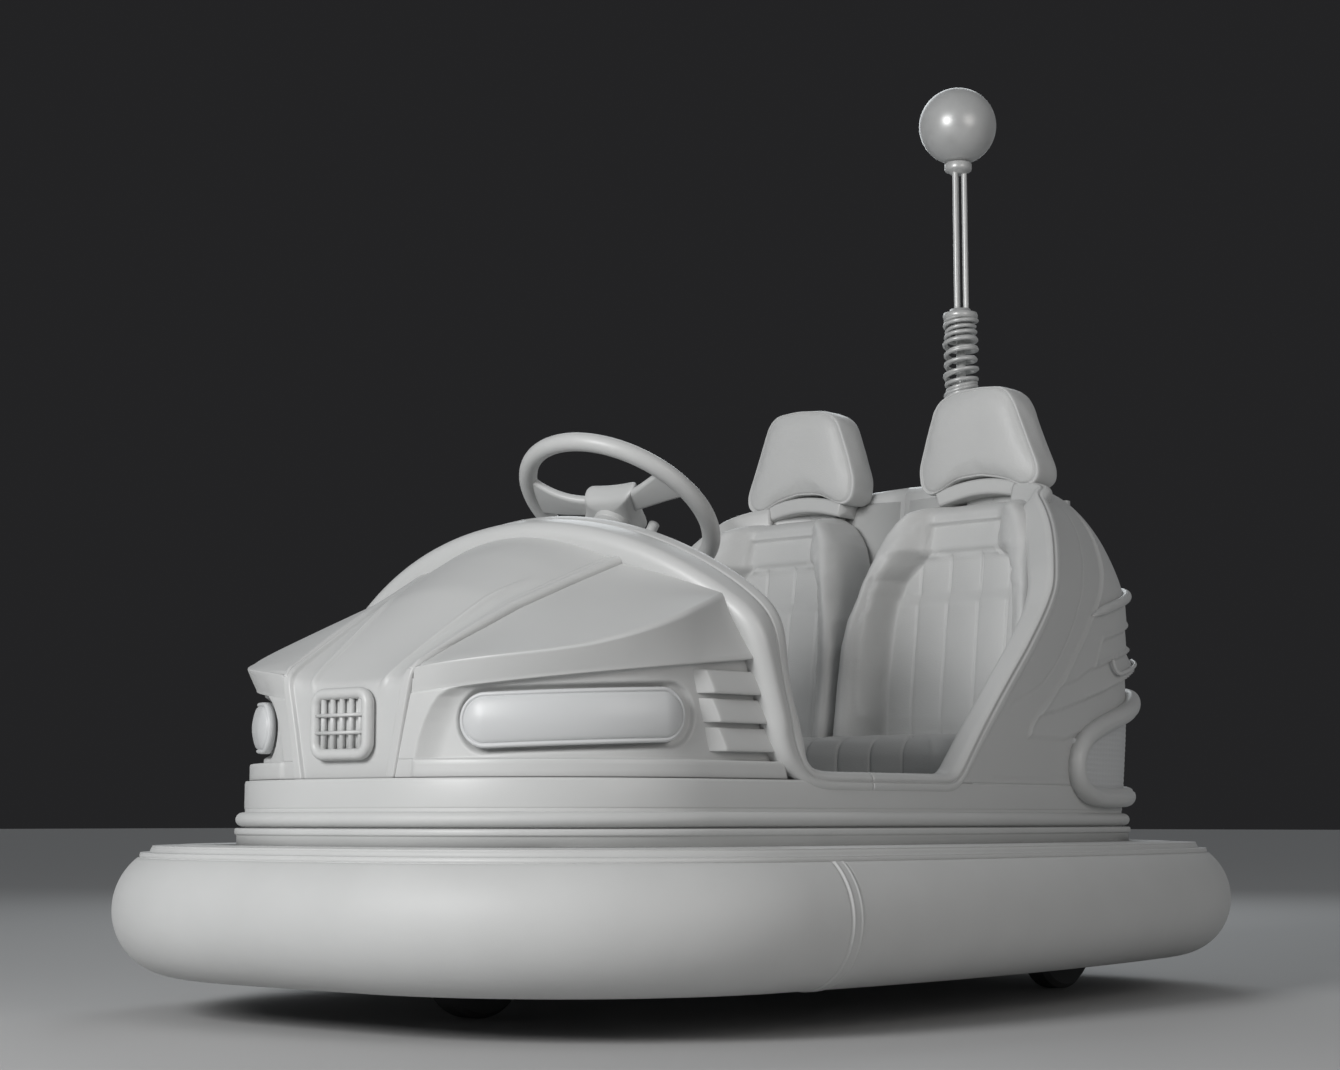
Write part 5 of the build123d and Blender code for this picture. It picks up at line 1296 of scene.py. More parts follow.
@dataclass
class RearShell:
    """Domed rear body with swept wing plates, a panel seam, a grab bar and a number plate recess."""

    skin: float = 8.0
    columns: int = 265
    flange: int = 12
    foot_z: float = 352.0
    shoulder_z: float = 700.0
    top_z: float = 975.0
    edge: tuple[tuple[float, float], ...] = (
        (1374.0, 433.0), (1383.0, 450.0), (1412.0, 472.0), (1442.0, 491.0), (1484.0, 521.0), (1528.0, 562.0),
        (1569.0, 600.0), (1606.0, 637.0), (1641.0, 670.0), (1670.0, 702.0), (1692.0, 727.0), (1708.0, 750.0),
        (1722.0, 773.0), (1736.0, 800.0), (1745.0, 825.0), (1746.0, 850.0), (1738.0, 880.0), (1715.0, 905.0),
        (1680.0, 930.0))
    feather_1: tuple[tuple[float, float], ...] = ((1481.0, 519.0), (1543.0, 531.0), (1596.0, 551.0), (1667.0, 567.0),
                                                  (1729.0, 581.0), (1850.0, 603.0), (1930.0, 612.0), (2290.0, 618.0))
    feather_2: tuple[tuple[float, float], ...] = ((1410.0, 467.0), (1478.0, 478.0), (1563.0, 496.0), (1656.0, 517.0),
                                                  (1781.0, 551.0), (1850.0, 567.0), (1930.0, 576.0), (2290.0, 582.0))
    feather_3: tuple[tuple[float, float], ...] = ((1411.0, 409.0), (1478.0, 424.0), (1541.0, 438.0), (1701.0, 474.0))
    panel: tuple[tuple[float, float], ...] = ((1312.0, 481.0), (1364.0, 498.0), (1418.0, 519.0), (1465.0, 551.0),
                                              (1508.0, 592.0), (1543.0, 633.0), (1570.0, 671.0), (1601.0, 719.0),
                                              (1622.0, 744.0), (1644.0, 774.0), (1663.0, 804.0), (1673.0, 830.0),
                                              (1677.0, 853.0), (1672.0, 875.0))

    def front_y(self, z: np.ndarray) -> np.ndarray:
        """Where the shell starts behind the side moulding, at level z."""
        keys = [338.0, 353.0, 369.0, 410.0, 453.0, 488.0, 520.0, 556.0, 596.0, 634.0, 664.0, 711.0, 744.0, 769.0,
                804.0, 831.0, 856.0, 880.0, 900.0, 925.0, 955.0, 975.0]
        ys = [30.0, 48.0, 61.0, 96.0, 140.0, 175.0, 208.0, 246.0, 286.0, 323.0, 348.0, 374.0, 400.0, 421.0,
              450.0, 471.0, 494.0, 520.0, 545.0, 575.0, 606.0, 628.0]
        return np.interp(z, keys, ys)

    def roof(self, x: np.ndarray, y: np.ndarray) -> np.ndarray:
        """Height of the dome's crown over a place in plan."""
        return 928.0 - 0.00032 * x**2 - 0.0011 * (y - 650.0) ** 2

    def height(self, run: np.ndarray, z: np.ndarray) -> np.ndarray:
        """How far the wing plates, ribs and seams stand out of the plain shell."""
        place = np.stack([run, z], axis=-1)
        edge = np.array(self.edge)
        lead = np.interp(z, edge[:, 1], edge[:, 0])
        inside = smooth(-1.0, 2.5, run - lead) * (z > 430.0)
        feathers = (self.feather_1, self.feather_2, self.feather_3)
        z1, z2, z3 = (np.interp(run, *np.array(feather).T) for feather in feathers)
        tip = smooth(1500.0, 1860.0, run)
        low_1, low_2 = 5.0 + 2.5 * tip, 5.0 + 15.0 * tip
        share_1 = np.clip((z1 + 120.0 - z) / 120.0, 0.0, 1.0)
        share_2 = np.clip((z1 - z) / np.maximum(z1 - z2, 5.0), 0.0, 1.0)
        share_3 = np.clip((z2 - z) / np.maximum(z2 - z3, 5.0), 0.0, 1.0)
        plate_1 = 3.0 + (low_1 - 3.0) * share_1**1.5
        plate_2 = 1.5 + (low_2 - 1.5) * share_2**1.4
        plate_3 = 0.5 + 4.0 * share_3
        above_1, above_2 = smooth(-1.2, 1.2, z - z1), smooth(-1.2, 1.2, z - z2)
        above_3 = smooth(-1.2, 1.2, z - z3)
        stack = above_1 * plate_1 + (1 - above_1) * (above_2 * plate_2 + (1 - above_2) * above_3 * plate_3)
        fade = smooth(940.0, 780.0, z) * (1 - smooth(2000.0, 2200.0, run) * 0.6)
        body = inside * stack * fade
        rib, along = polyline_distance(place, list(self.edge))
        body = body + 3.6 * bump(0.0, 6.5, rib) * smooth(1.0, 0.97, along)
        seam, _ = polyline_distance(place, list(self.panel))
        trim, _ = polyline_distance(place, [(1263.0, 359.5), (1526.0, 363.0)])
        body = body - 1.6 * bump(0.0, 2.6, seam) - 1.5 * bump(0.0, 2.4, trim)
        # number plate recess with a raised rim, framed by the wing plates
        rim = np.minimum((run - 1620.0) * 0.84 - (z - 557.0) * 0.55,
                         np.minimum(z - (z1 + 1.0), 609.0 + (run - 1654.0) * 0.21 - z))
        body = body + 3.0 * bump(0.0, 4.0, rim) - 4.0 * smooth(2.0, 5.0, rim)
        return body

    def shape(self) -> tuple[np.ndarray, np.ndarray]:
        """Left half of the shell as a closed sheet."""
        levels = np.r_[np.linspace(self.foot_z, self.shoulder_z, 88), np.linspace(self.shoulder_z, self.top_z, 58)[1:]]
        turn = np.linspace(0.0, 1.0, self.columns)
        turn = 0.72 * turn + 0.28 * turn**2
        rows, backs = [], []
        for z in levels:
            pull = float(shell_pull(z))
            start = float(BODY.run_at_y(float(self.front_y(z)), -pull))
            run = start + (2.0 * BODY.quarter - start) * turn
            out = self.height(run, np.full(self.columns, z))
            place, back = BODY.at(run, out - pull), BODY.at(run, -self.skin - pull)
            tops = []
            for at, less in ((place, 0.0), (back, self.skin)):
                crown = self.roof(at[:, 0], at[:, 1]) - less
                tops.append(z - less * smooth(720.0, 940.0, z) - 9.0 * np.logaddexp(0.0, (z - crown) / 9.0))
            rows.append(np.c_[place, tops[0]])
            backs.append(np.c_[back, tops[1]])
        for store in (rows, backs):
            base = store[-1]
            for part in np.linspace(0.0, 1.0, 15)[1:]:
                x = base[:, 0] * (1 - part)
                store.append(np.c_[x, base[:, 1], base[:, 2] + self.roof(x, base[:, 1]) - self.roof(*base[:, :2].T)])
        return closed_sheet(self.flanged(np.stack(rows), 0.0), self.flanged(np.stack(backs), self.skin))

    def flanged(self, sheet: np.ndarray, inside: float) -> np.ndarray:
        """The sheet with its front border rolled inwards, and down between the seats at the crown."""
        first = sheet[:, 0]
        crown = smooth(470.0, 612.0, first[:, 1])
        share = np.linspace(1.0, 0.0, self.flange + 1)[:-1]
        into = np.array([-30.0, 6.0, 0.0])
        roll = 24.0 - inside
        columns = []
        for part in share:
            angle = min(part / 0.4, 1.0) * math.pi / 2
            drop = max(part - 0.4, 0.0) / 0.6
            side = first + into * part
            over = first + np.array([0.0, -roll * math.sin(angle), -roll * (1 - math.cos(angle))])
            over[:, 2] -= drop * (20.0 + 420.0 * crown)
            over[:, 1] -= drop * (20.0 + 420.0 * crown) * BULKHEAD_SLOPE
            columns.append(side + (over - side) * crown[:, None])
        return np.concatenate([np.stack(columns, axis=1), sheet], axis=1)

    def on_shell(self, run: np.ndarray, z: np.ndarray, out: np.ndarray | float) -> np.ndarray:
        """Points outside the plain shell."""
        return np.c_[BODY.at(run, np.asarray(out) - shell_pull(z)), z]

    def build(self) -> None:
        """Builds and dresses the shell and its small fittings."""
        pair("rear_shell", self.shape(), Finishes.SHELL, ("rear_body",))
        bar = curve_through([(1611.0, 646.0, 4.0), (1650.0, 658.0, 6.0), (1700.0, 670.0, 8.0), (1783.0, 690.0, 9.0),
                             (1860.0, 706.0, 9.0), (1960.0, 722.0, 8.0), (2100.0, 736.0, 7.0),
                             (2290.0, 742.0, 7.0)], 90, 4)
        taper = np.minimum(1.0, np.sqrt(np.clip(np.arange(90) / 6.0, 0.02, 1.0)))
        bars = rod(self.on_shell(*bar.T), circle(9.0, 20)[None] * taper[:, None, None])
        bracket = curve_through([(1690.0, 574.0, 6.0), (1694.0, 556.0, 9.0), (1706.0, 549.0, 12.0),
                                 (1818.0, 572.0, 15.0), (1900.0, 586.0, 15.0)], 40, 3)
        brackets = rod(self.on_shell(bracket[:, 0], bracket[:, 1], bracket[:, 2] + 4.0), circle(3.6, 12))
        shape = merged([bars, brackets])
        piece = mesh_object("rear_grab_bars", *merged([shape, mirrored(*shape)]))
        dress(piece, Finishes.TRIM)


@dataclass
class RearLamps:
    """Rear lamps: a tube frame that wraps the corner, and a finely ribbed lens."""

    tube: float = 17.0
    rib_pitch: float = 9.0
    loop: tuple[tuple[float, float, float], ...] = (
        (1960.0, 524.0, 12.0), (1880.0, 514.0, 14.0), (1789.0, 490.0, 12.0), (1690.0, 467.0, 9.0),
        (1618.0, 449.0, 8.0), (1571.0, 432.0, 8.0), (1549.0, 414.0, 8.0), (1539.0, 397.0, 8.0),
        (1539.0, 381.0, 8.0), (1548.0, 362.0, 8.0), (1572.0, 345.0, 8.0), (1609.0, 335.0, 8.0),
        (1680.0, 331.0, 8.0), (1800.0, 334.0, 9.0), (1940.0, 340.0, 10.0), (1985.0, 356.0, 10.0),
        (2004.0, 395.0, 11.0), (2004.0, 470.0, 12.0), (1993.0, 510.0, 12.0))

    def build(self) -> None:
        """Builds both lamps."""
        corners = list(self.loop) + [self.loop[0]]
        line = eased(curve_through(corners, 240)[:-1], 24, True)
        path = np.c_[BODY.at(line[:, 0], line[:, 2] - shell_pull(line[:, 1])), line[:, 1]]
        outward = path * np.array([1.0, 1.0, 0.0]) - np.array([0.0, 400.0, 0.0])
        outward /= np.linalg.norm(outward, axis=1)[:, None]
        section = circle(self.tube, 28)
        turn = np.arctan2(section[:, 1], section[:, 0])
        section = section * (1.0 - 0.09 * bump(2.25, 0.16, turn))[:, None]
        frame = rod(path, section, outward, True)
        rows, backs = [], []
        run = np.linspace(0.0, 1.0, 141)
        top = line[line[:, 1] > 430.0]
        low = line[line[:, 1] <= 430.0]
        span = 1540.0 + 455.0 * run
        high_z = np.interp(span, *np.array(sorted(map(tuple, top[:, :2]))).T)
        low_z = np.interp(span, *np.array(sorted(map(tuple, low[:, :2]))).T)
        for part in np.linspace(0.0, 1.0, 57):
            z = low_z + (high_z - low_z) * part
            rib = 1.1 * np.abs(np.sin(z * math.pi / self.rib_pitch)) + 0.35 * np.abs(np.sin(span * math.pi / 14.0))
            rows.append(np.c_[BODY.at(span, 3.0 + rib - shell_pull(z)), z])
            backs.append(np.c_[BODY.at(span, -5.0 - shell_pull(z)), z])
        lens = closed_sheet(np.stack(rows), np.stack(backs))
        pair("rear_lamp_tube", frame, Finishes.TRIM, ("rear_lamp_frame_{hand}",))
        pair("rear_lamp_lens", lens, Finishes.LENS, ("rear_lens_{hand}",))
# ---------------------------------------------------------------- padded seats
@dataclass
class Filling:
    """The filling of a pad: swells a closed cover by cloth pressure, on a coarse copy of it."""

    cell: float = 0.009
    pressure: float = 4.0
    most: float = 7.0
    last_frame: int = 20

    def swell(self, points: np.ndarray, faces: np.ndarray) -> np.ndarray:
        """Swells a cover and returns its moved points.

        Args:
            points: the cover's points in millimetres.
            faces: its faces.

        Returns:
            The points of the filled cover.
        """
        remesh = ("REMESH", {"mode": "VOXEL", "voxel_size": self.cell})
        trial = settled(mesh_object("trial_cover", points, faces), remesh)
        rest = self.places(trial.data)
        cloth = trial.modifiers.new("filling", "CLOTH")
        cloth.settings.use_pressure = True
        cloth.settings.uniform_pressure_force = self.pressure
        cloth.settings.effector_weights.gravity = 0.0
        scene = bpy.context.scene
        for frame in range(1, self.last_frame + 1):
            scene.frame_set(frame)
        graph = bpy.context.evaluated_depsgraph_get()
        full = self.places(trial.evaluated_get(graph).data)
        scene.frame_set(1)
        move = (full - rest) * 1000.0
        far = np.linalg.norm(move, axis=1)
        move *= (np.minimum(far, self.most) / np.maximum(far, 1e-6))[:, None]
        tree = KDTree(len(rest))
        for number, place in enumerate(rest):
            tree.insert(place, number)
        tree.balance()
        cover = trial.data
        bpy.data.objects.remove(trial)
        bpy.data.meshes.remove(cover)
        filled = points.copy()
        for number, place in enumerate(points * MM):
            near = tree.find_n(place, 5)
            weights = np.array([1.0 / (found[2] + 0.003) ** 2 for found in near])
            filled[number] += weights @ move[[found[1] for found in near]] / weights.sum()
        return filled

    @staticmethod
    def places(mesh: bpy.types.Mesh) -> np.ndarray:
        """A mesh's points as an array, in metres."""
        flat = np.empty(len(mesh.vertices) * 3)
        mesh.vertices.foreach_get("co", flat)
        return flat.reshape(-1, 3)


@dataclass
class Seat:
    """One bucket seat: cushion, back with a sewn insert, and headrest. Sizes are for the car's left seat."""

    centre_x: float = 208.0
    seams: tuple[float, ...] = (-94.0, -30.0, 36.0, 97.0)
    cushion_seams: tuple[float, ...] = (-106.0, -40.0, 27.0, 94.0)
    recess_low: float = 772.0
    recess_high: float = 832.0
    recess_half: float = 77.0
    shoulder_z: float = 852.0
    shoulder_rise: float = 26.0

    def back(self) -> tuple[np.ndarray, np.ndarray]:
        """Cover of the seat back before it is filled: outside front grid and flat rear."""
        z_keys = [432.0, 476.0, 541.0, 608.0, 658.0, 700.0, 728.0, 782.0, 815.0, 838.0, 860.0, 876.0]
        inner_keys = [9.0, 9.0, 9.0, 12.0, 20.0, 32.0, 39.0, 54.0, 66.0, 79.0, 97.0, 124.0]
        outer_keys = [402.0, 402.0, 402.0, 401.0, 400.0, 396.0, 391.0, 377.0, 362.0, 350.0, 332.0, 306.0]
        front_keys = [316.0, 324.0, 334.0, 344.0, 354.0, 366.0, 374.0, 398.0, 414.0, 426.0, 440.0, 452.0]
        half_keys = [156.0, 156.0, 157.0, 155.0, 151.0, 143.0, 134.0, 79.0, 77.0, 77.0, 74.0, 70.0]
        rows, backs = [], []
        curl = self.shoulder_rise * np.sin(np.linspace(0.08, 1.0, 12) * math.pi / 2)
        levels = np.r_[np.linspace(434.0, self.shoulder_z, 118), self.shoulder_z + curl]
        for z in levels:
            key = min(z, 876.0)
            left, right = np.interp(key, z_keys, inner_keys), np.interp(key, z_keys, outer_keys)
            front, half = np.interp(key, z_keys, front_keys), np.interp(key, z_keys, half_keys)
            rear = 523.0 + (key - 440.0) * 0.139
            plane = 436.0 + (key - 440.0) * 0.137
            hood = smooth(705.0, 775.0, key)
            plane -= 11.0 * smooth(760.0, 790.0, key)
            side = []
            for edge, sign in ((left, 1.0), (right, -1.0)):
                room = sign * (self.centre_x - edge) - half
                low = np.array([(room - 14.0, 8.0), (room - 4.0, 20.0), (room - 1.0, 50.0),
                                (room, plane - front - 10.0)])
                high = np.array([(0.35 * room, 5.0), (0.52 * room, 0.2 * (plane - front)),
                                 (0.70 * room, 0.5 * (plane - front)), (0.88 * room, 0.85 * (plane - front))])
                wall = low + (high - low) * hood
                side.append([(edge + sign * 10.0, rear), (edge, rear - 18.0), (edge, front + 46.0),
                             (edge + sign * 1.0, front + 16.0), (edge + sign * 5.0, front + 3.0),
                             (edge + sign * 14.0, front), *((edge + sign * u, front + v) for u, v in wall),
                             (edge + sign * (room + 6.0), plane)])
            ends = [curve_through(points, 46, 2) for points in side]
            across = np.linspace(ends[0][-1, 0], ends[1][-1, 0], 104)[1:-1]
            flat = np.stack([across, np.full(102, plane)], axis=-1)
            line = eased(np.concatenate([ends[0], flat, ends[1][::-1]]), 3)
            over = np.clip((z - self.shoulder_z) / self.shoulder_rise, 0.0, 1.0)
            line[:, 1] += (rear - 8.0 - line[:, 1]) * (1 - math.sqrt(max(1 - over**2, 0.0)))
            rows.append(np.c_[line, np.full(len(line), z)])
            share = np.linspace(0.0, 1.0, len(line))
            backs.append(np.c_[line[0, 0] + (line[-1, 0] - line[0, 0]) * share, np.full(len(line), rear + 4.0),
                               np.full(len(line), z)])
        return closed_sheet(np.stack(rows), np.stack(backs), 6)

    def sew_back(self, points: np.ndarray) -> np.ndarray:
        """Cuts the seams, the channels and the recess into the filled back."""
        x, y, z = points.T
        x = x - self.centre_x
        half = np.interp(z, [432, 541, 608, 658, 700, 728, 782, 870], [156, 157, 155, 151, 143, 134, 79, 77])
        behind = y - (434.0 + (z - 440.0) * 0.137)
        front = smooth(30.0, 12.0, behind) * smooth(-75.0, -40.0, behind)
        inside = half - np.abs(x)
        field_z = z < self.recess_low
        depth = np.zeros_like(x)
        for at in self.seams:
            lane = smooth(2.0, 8.0, inside) * smooth(self.recess_low, self.recess_low - 3.0, z)
            depth += 2.6 * bump(at, 3.2, x) * lane
        crown = np.zeros_like(x)
        lanes = (-157.0, *self.seams, 157.0)
        for low, high in zip(lanes[:-1], lanes[1:]):
            crown += 2.4 * np.clip(1 - ((2 * x - low - high) / (high - low)) ** 2, 0, 1) * ((x >= low) & (x < high))
        depth -= crown * smooth(0.0, 14.0, inside) * field_z
        depth += 7.0 * smooth(0.0, 3.0, inside) * smooth(680.0, 706.0, z) * field_z
        depth += 3.2 * bump(0.0, 3.6, inside - 1.0) * smooth(self.recess_low + 4.0, self.recess_low - 2.0, z)
        depth += 3.0 * bump(self.recess_low, 3.4, z) * (np.abs(x) < self.recess_half + 3.0)
        box = np.minimum(self.recess_half - np.abs(x), np.minimum(self.recess_high - z, z - self.recess_low))
        depth += 9.0 * smooth(0.0, 2.5, box) * (z > self.recess_low - 1.0)
        depth += 2.5 * bump(3.5, 3.0, box) * (z > self.recess_low + 4.0)
        return points + np.stack([np.zeros_like(x), depth * front, np.zeros_like(x)], axis=-1)

    def rings(self, outline: np.ndarray, table: list[tuple[float, float]], axis: int,
              centre: tuple[float, float]) -> tuple[np.ndarray, np.ndarray]:
        """A closed pad from one outline, drawn in ring by ring towards the middle of both its faces.

        Args:
            outline: the outline round its centre.
            table: for each ring its size against the outline and its place along the axis.
            axis: 1 for a pad that faces along y, 2 for one that faces up.
            centre: the centre's place across the axis.

        Returns:
            The points and the faces.
        """
        scale = np.array([row[0] for row in table])
        along = np.array([row[1] for row in table])
        flat = outline[None] * scale[:, None, None] + np.array(centre)
        level = np.broadcast_to(along[:, None], flat.shape[:2])
        order = (flat[..., 0], level, flat[..., 1]) if axis == 1 else (flat[..., 0], flat[..., 1], level)
        return capped(np.stack(order, axis=-1))

    def headrest(self) -> tuple[np.ndarray, np.ndarray]:
        """Headrest cover with a crowned face and an arched lower edge."""
        corners = [(-124.0, -90.0), (-136.0, -76.0), (-139.0, -40.0), (-121.0, 20.0), (-103.0, 70.0), (-88.0, 88.0),
                   (-58.0, 100.0), (0.0, 104.0), (48.0, 100.0), (66.0, 88.0), (80.0, 66.0), (107.0, -4.0),
                   (128.0, -56.0), (127.0, -80.0), (112.0, -92.0), (96.0, -93.0), (50.0, -78.0), (0.0, -69.0),
                   (-50.0, -72.0), (-92.0, -87.0), (-112.0, -93.0)]
        outline = eased(curve_through([*corners, corners[0]], 150)[:-1], 5, True)
        face = [(s, 519.0 + 10.0 * s**4) for s in np.linspace(0.06, 0.9, 14)]
        edge = [(0.925, 526.5), (0.94, 529.5), (0.952, 530.5), (0.962, 527.5), (0.975, 526.6), (0.987, 528.0),
                (0.994, 531.5), (0.999, 536.0), (1.0, 545.0), (1.0, 560.0), (1.0, 576.0), (0.995, 586.0),
                (0.98, 595.0), (0.95, 601.0), (0.9, 604.5)]
        rear = [(s, 605.0 + 2.5 * (1 - s**2)) for s in np.linspace(0.8, 0.08, 8)]
        return self.rings(outline, face + edge + rear, 1, (205.0 + 4.0, 985.0))

    @staticmethod
    def pull(share: np.ndarray) -> np.ndarray:
        """How far a cushion's side pulls in, at each share of the way from its middle to a corner."""
        return 4.0 * (1 - share**2)

    def cushion(self) -> tuple[np.ndarray, np.ndarray]:
        """Cushion cover, a crowned slab whose sides pull in between its corners."""
        wide, deep, radius = 192.0, 158.0, 34.0
        turns = np.linspace(0.0, math.pi / 2, 10)
        arc = np.stack([np.cos(turns), np.sin(turns)], axis=-1) * radius
        inset = np.array([wide - radius, deep - radius])
        front = np.linspace(-(wide - radius), wide - radius, 130)[1:-1]
        right = np.linspace(-(deep - radius), deep - radius, 26)[1:-1]
        pull = self.pull
        outline = np.concatenate([
            np.stack([front, -deep + pull(front / wide)], axis=-1),
            (arc[::-1] * [1, -1]) + inset * [1, -1],
            np.stack([wide - pull(right / deep), right], axis=-1),
            arc + inset,
            np.stack([front[::-4], deep - pull(front[::-4] / wide)], axis=-1),
            (arc[::-1] * [-1, 1]) + inset * [-1, 1],
            np.stack([-wide + pull(right / deep), right[::-1]], axis=-1),
            arc * [-1, -1] + inset * [-1, -1]])
        low = [(0.2, 322.0), (0.6, 320.0), (0.9, 321.0), (0.965, 324.0), (0.99, 330.0)]
        side = [(1.0, z) for z in (338.0, 350.0, 362.0, 374.0, 386.0, 396.0)]
        edge = [(1.0 - 0.14 * (1 - math.cos(t)), 396.0 + 30.0 * math.sin(t)) for t in np.linspace(0.15, 1.45, 12)]
        top = [(s, 427.0 + 4.0 * (1 - s**2)) for s in np.linspace(0.8, 0.06, 12)]
        return self.rings(outline, low + side + edge + top, 2, (self.centre_x, 282.0))

    def sew_cushion(self, points: np.ndarray) -> np.ndarray:
        """Cuts the cushion's lengthwise seams into its top and front."""
        x, y, z = points.T
        x = x - self.centre_x
        top = smooth(395.0, 422.0, z)
        face = smooth(150.0, 132.0, y) * smooth(340.0, 360.0, z)
        depth = np.zeros_like(x)
        for at in self.cushion_seams:
            depth += 2.8 * bump(at, 3.6, x)
        lanes = (-192.0, *self.cushion_seams, 192.0)
        for low, high in zip(lanes[:-1], lanes[1:]):
            depth -= 2.2 * np.clip(1 - ((2 * x - low - high) / (high - low)) ** 2, 0, 1) * ((x >= low) & (x < high))
        return points + np.stack([np.zeros_like(x), depth * face * (1 - 0.6 * top), -depth * top], axis=-1)

    def neck(self) -> tuple[np.ndarray, np.ndarray]:
        """Collar under the headrest that follows its arched lower edge."""
        x = np.linspace(-96.0, 96.0, 60)
        arch = 881.0 + 20.0 * np.cos(x / 96.0 * 1.35)
        path = np.c_[x + self.centre_x, 562.0 + 0.0 * x, arch]
        return rod(path, rounded_box(62.0, 30.0, 7.0, 6))

    def post(self) -> tuple[np.ndarray, np.ndarray]:
        """Block that carries the headrest on the bulkhead."""
        path = np.c_[np.full(14, self.centre_x), np.full(14, 585.0), np.linspace(850.0, 930.0, 14)]
        return rod(path, rounded_box(120.0, 30.0, 9.0, 6), REARWARD)

    def build(self) -> None:
        """Builds both seats."""
        filling = Filling()
        back, cushion, headrest = self.back(), self.cushion(), self.headrest()
        back = (self.sew_back(filling.swell(*back)), back[1])
        cushion = (self.sew_cushion(Filling(most=5.0).swell(*cushion)), cushion[1])
        headrest = (Filling(most=4.0).swell(*headrest), headrest[1])
        mount = merged([self.neck(), self.post()])
        for hand in HANDS:
            for part, shape, fill in (("back", back, 0.8), ("cushion", cushion, 0.85), ("headrest", headrest, 0.85)):
                node = f"headrest_{hand}" if part == "headrest" else f"seat_{part}_{hand}"
                piece = mesh_object(f"{part}_pad_{hand}", *on_hand(hand, shape))
                dress(piece, Finishes.VINYL, (node,))
            piece = mesh_object(f"headrest_neck_{hand}", *on_hand(hand, mount))
            dress(piece, Finishes.TRIM, ("rear_bulkhead",))


@dataclass
class Bulkhead:
    """Smooth panel behind the seats, from the floor up under the dome."""

    half: float = 400.0
    bow: float = 10.0
    thickness: float = 12.0
    count: int = 60

    def build(self) -> None:
        """Builds the panel."""
        rows, backs = [], []
        for z in np.linspace(250.0, 872.0, self.count):
            half = self.half - 60.0 * smooth(600.0, 872.0, z)
            x = np.linspace(-half, half, self.count)
            y = 600.0 - (900.0 - z) * BULKHEAD_SLOPE - self.bow * (1 - (x / half) ** 2) + 16.0
            rows.append(np.c_[x, y, np.full(self.count, z)])
            backs.append(np.c_[x, y + self.thickness, np.full(self.count, z)])
        piece = mesh_object("seat_bulkhead", *closed_sheet(np.stack(rows), np.stack(backs)))
        dress(piece, Finishes.SHELL, ("rear_bulkhead",))


